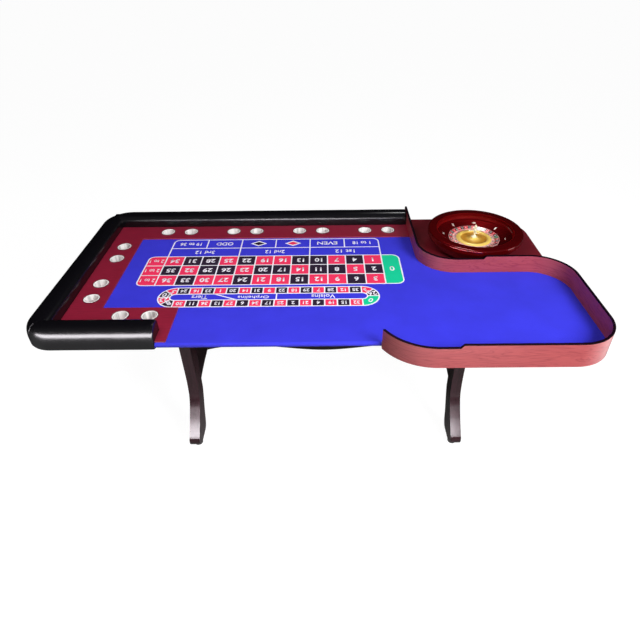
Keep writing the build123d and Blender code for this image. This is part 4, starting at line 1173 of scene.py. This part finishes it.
def make_floor_finish():
    """Pale studio floor: near white to look at, and dim for the light that it throws back on the table.

    Shiny surfaces see it glow on the dealer's side and beyond the right end of the table.
    """
    finish = Finish("floor_pale", FLOOR_GREY, 0.9, Specular_IOR_Level=0.05)
    finish.tones(finish.noise(finish.place(), 0.6, 2.0), FLOOR_GREY, 0.9375, 1.0625)
    finish.shader.inputs["Emission Color"].default_value = (1, 1, 1, 1)
    split = finish.add("SeparateXYZ", Vector=finish.place())
    path = finish.add("LightPath")
    dealer_side = finish.span(split.outputs["Y"], 0.0, -1.2, 0.0, 0.34)
    right_side = finish.span(split.outputs["X"], 2.0, 2.8, 0.0, 2.5)
    near_half = finish.span(split.outputs["Y"], 0.3, -0.1, 0.0, 1.0)
    glow = finish.maths("ADD", dealer_side, finish.maths("MULTIPLY", right_side, near_half))
    glow = finish.maths("MULTIPLY", glow, path.outputs["Is Glossy Ray"])
    seen = finish.between(path.outputs["Is Camera Ray"], 0.0, 0.97)
    finish.feed(finish.maths("ADD", glow, seen), finish.shader.inputs["Emission Strength"])
    return finish.material


floor_mesh = bmesh.new()
floor_corners = [(x * FLOOR_REACH, y * FLOOR_REACH) for x, y in ((-1, -1), (1, -1), (1, 1), (-1, 1))]
add_slab(floor_mesh, floor_corners, -FLOOR_THICK, 0.0)
floor_data = mesh_of(floor_mesh, "floor")
floor_data.materials.append(make_floor_finish())
put("floor", floor_data)

CAMERA_PLACE = (0.0504, -2.4703, 2.3591)
CAMERA_HEADING = 0.6289
CAMERA_DIP = 36.326
CAMERA_ROLL = -0.8686
camera_data = bpy.data.cameras.new("camera")
camera_data.sensor_width = 36.0
camera_data.lens = 29.314
camera_data.clip_end = 200.0
camera = put("camera", camera_data)
camera.matrix_world = (
    Matrix.Translation(CAMERA_PLACE)
    @ Matrix.Rotation(math.radians(CAMERA_HEADING), 4, "Z")
    @ Matrix.Rotation(math.radians(90 - CAMERA_DIP), 4, "X")
    @ Matrix.Rotation(math.radians(CAMERA_ROLL), 4, "Z")
)
bpy.context.scene.camera = camera
bpy.context.scene.view_settings.view_transform = "Standard"


def softbox(name, centre, target, width, height, watts, tint, diffuse, glossy):
    """A soft rectangular lamp that faces its target. It can light only matt or only shiny surfaces."""
    lamp = bpy.data.lights.new(name, "AREA")
    lamp.shape = "RECTANGLE"
    lamp.size = width
    lamp.size_y = height
    lamp.energy = watts
    lamp.color = tint
    holder = put(name, lamp)
    holder.location = centre
    aim = Vector(target) - Vector(centre)
    holder.rotation_mode = "QUATERNION"
    holder.rotation_quaternion = aim.to_track_quat("-Z", "Y")
    holder.visible_diffuse = diffuse
    holder.visible_glossy = glossy
    holder.visible_camera = False


WHITE = (1.0, 1.0, 1.0)
COOL = (0.93, 1.0, 1.0)
ROSE = (1.0, 0.92, 0.95)
LILAC = (1.0, 0.95, 1.0)
MATT = (True, False)
SHINY = (False, True)
softbox("key", (2.2, -2.6, 2.8), (0.2, -0.1, FELT_TOP), 1.5, 1.5, 160, COOL, *MATT)
softbox("ceiling", (-0.9, -1.0, 3.6), (0.0, -0.05, FELT_TOP), 2.0, 1.6, 56, ROSE, *MATT)
softbox("low", (0.9, -3.2, 0.95), (0.2, -0.6, 0.85), 3.0, 0.3, 9, WHITE, *MATT)
softbox("card", (-0.875, -1.34, 0.92), (-0.875, 0.5, 0.92), 3.85, 0.28, 94, LILAC, *SHINY)
softbox("window", (1.02, 1.26, 2.97), (WHEEL.x, WHEEL.y, SHELF_TOP), 0.55, 0.35, 14, WHITE, *SHINY)

# Brightness of the surroundings, as each kind of ray meets them
SEEN = 1.0
ON_MATT = 0.010
MIRRORED = 0.004
MIRRORED_DEALER_SIDE = 0.10


def make_world():
    """White to look at, even on matt surfaces, and dim in reflections except from the dealer's side."""
    world = bpy.data.worlds.new("studio")
    world.use_nodes = True
    tree = world.node_tree
    output = tree.nodes["World Output"]

    def background(strength):
        node = tree.nodes.new("ShaderNodeBackground")
        node.inputs["Color"].default_value = (1.0, 1.0, 1.0, 1)
        node.inputs["Strength"].default_value = strength
        return node.outputs[0]

    def either(switch, first, second):
        node = tree.nodes.new("ShaderNodeMixShader")
        tree.links.new(switch, node.inputs[0])
        tree.links.new(first, node.inputs[1])
        tree.links.new(second, node.inputs[2])
        return node.outputs[0]

    path = tree.nodes.new("ShaderNodeLightPath")
    direction = tree.nodes.new("ShaderNodeSeparateXYZ")
    sight = tree.nodes.new("ShaderNodeTexCoord")
    tree.links.new(sight.outputs["Generated"], direction.inputs[0])
    towards_dealer = tree.nodes.new("ShaderNodeMapRange")
    tree.links.new(direction.outputs["Y"], towards_dealer.inputs["Value"])
    towards_dealer.inputs["From Min"].default_value = 0.1
    towards_dealer.inputs["From Max"].default_value = -0.6
    dealer_side = background(MIRRORED_DEALER_SIDE)
    mirrored = either(towards_dealer.outputs["Result"], background(MIRRORED), dealer_side)
    lit = either(path.outputs["Is Diffuse Ray"], mirrored, background(ON_MATT))
    seen = either(path.outputs["Is Camera Ray"], lit, background(SEEN))
    tree.links.new(seen, output.inputs["Surface"])
    bpy.context.scene.world = world


make_world()
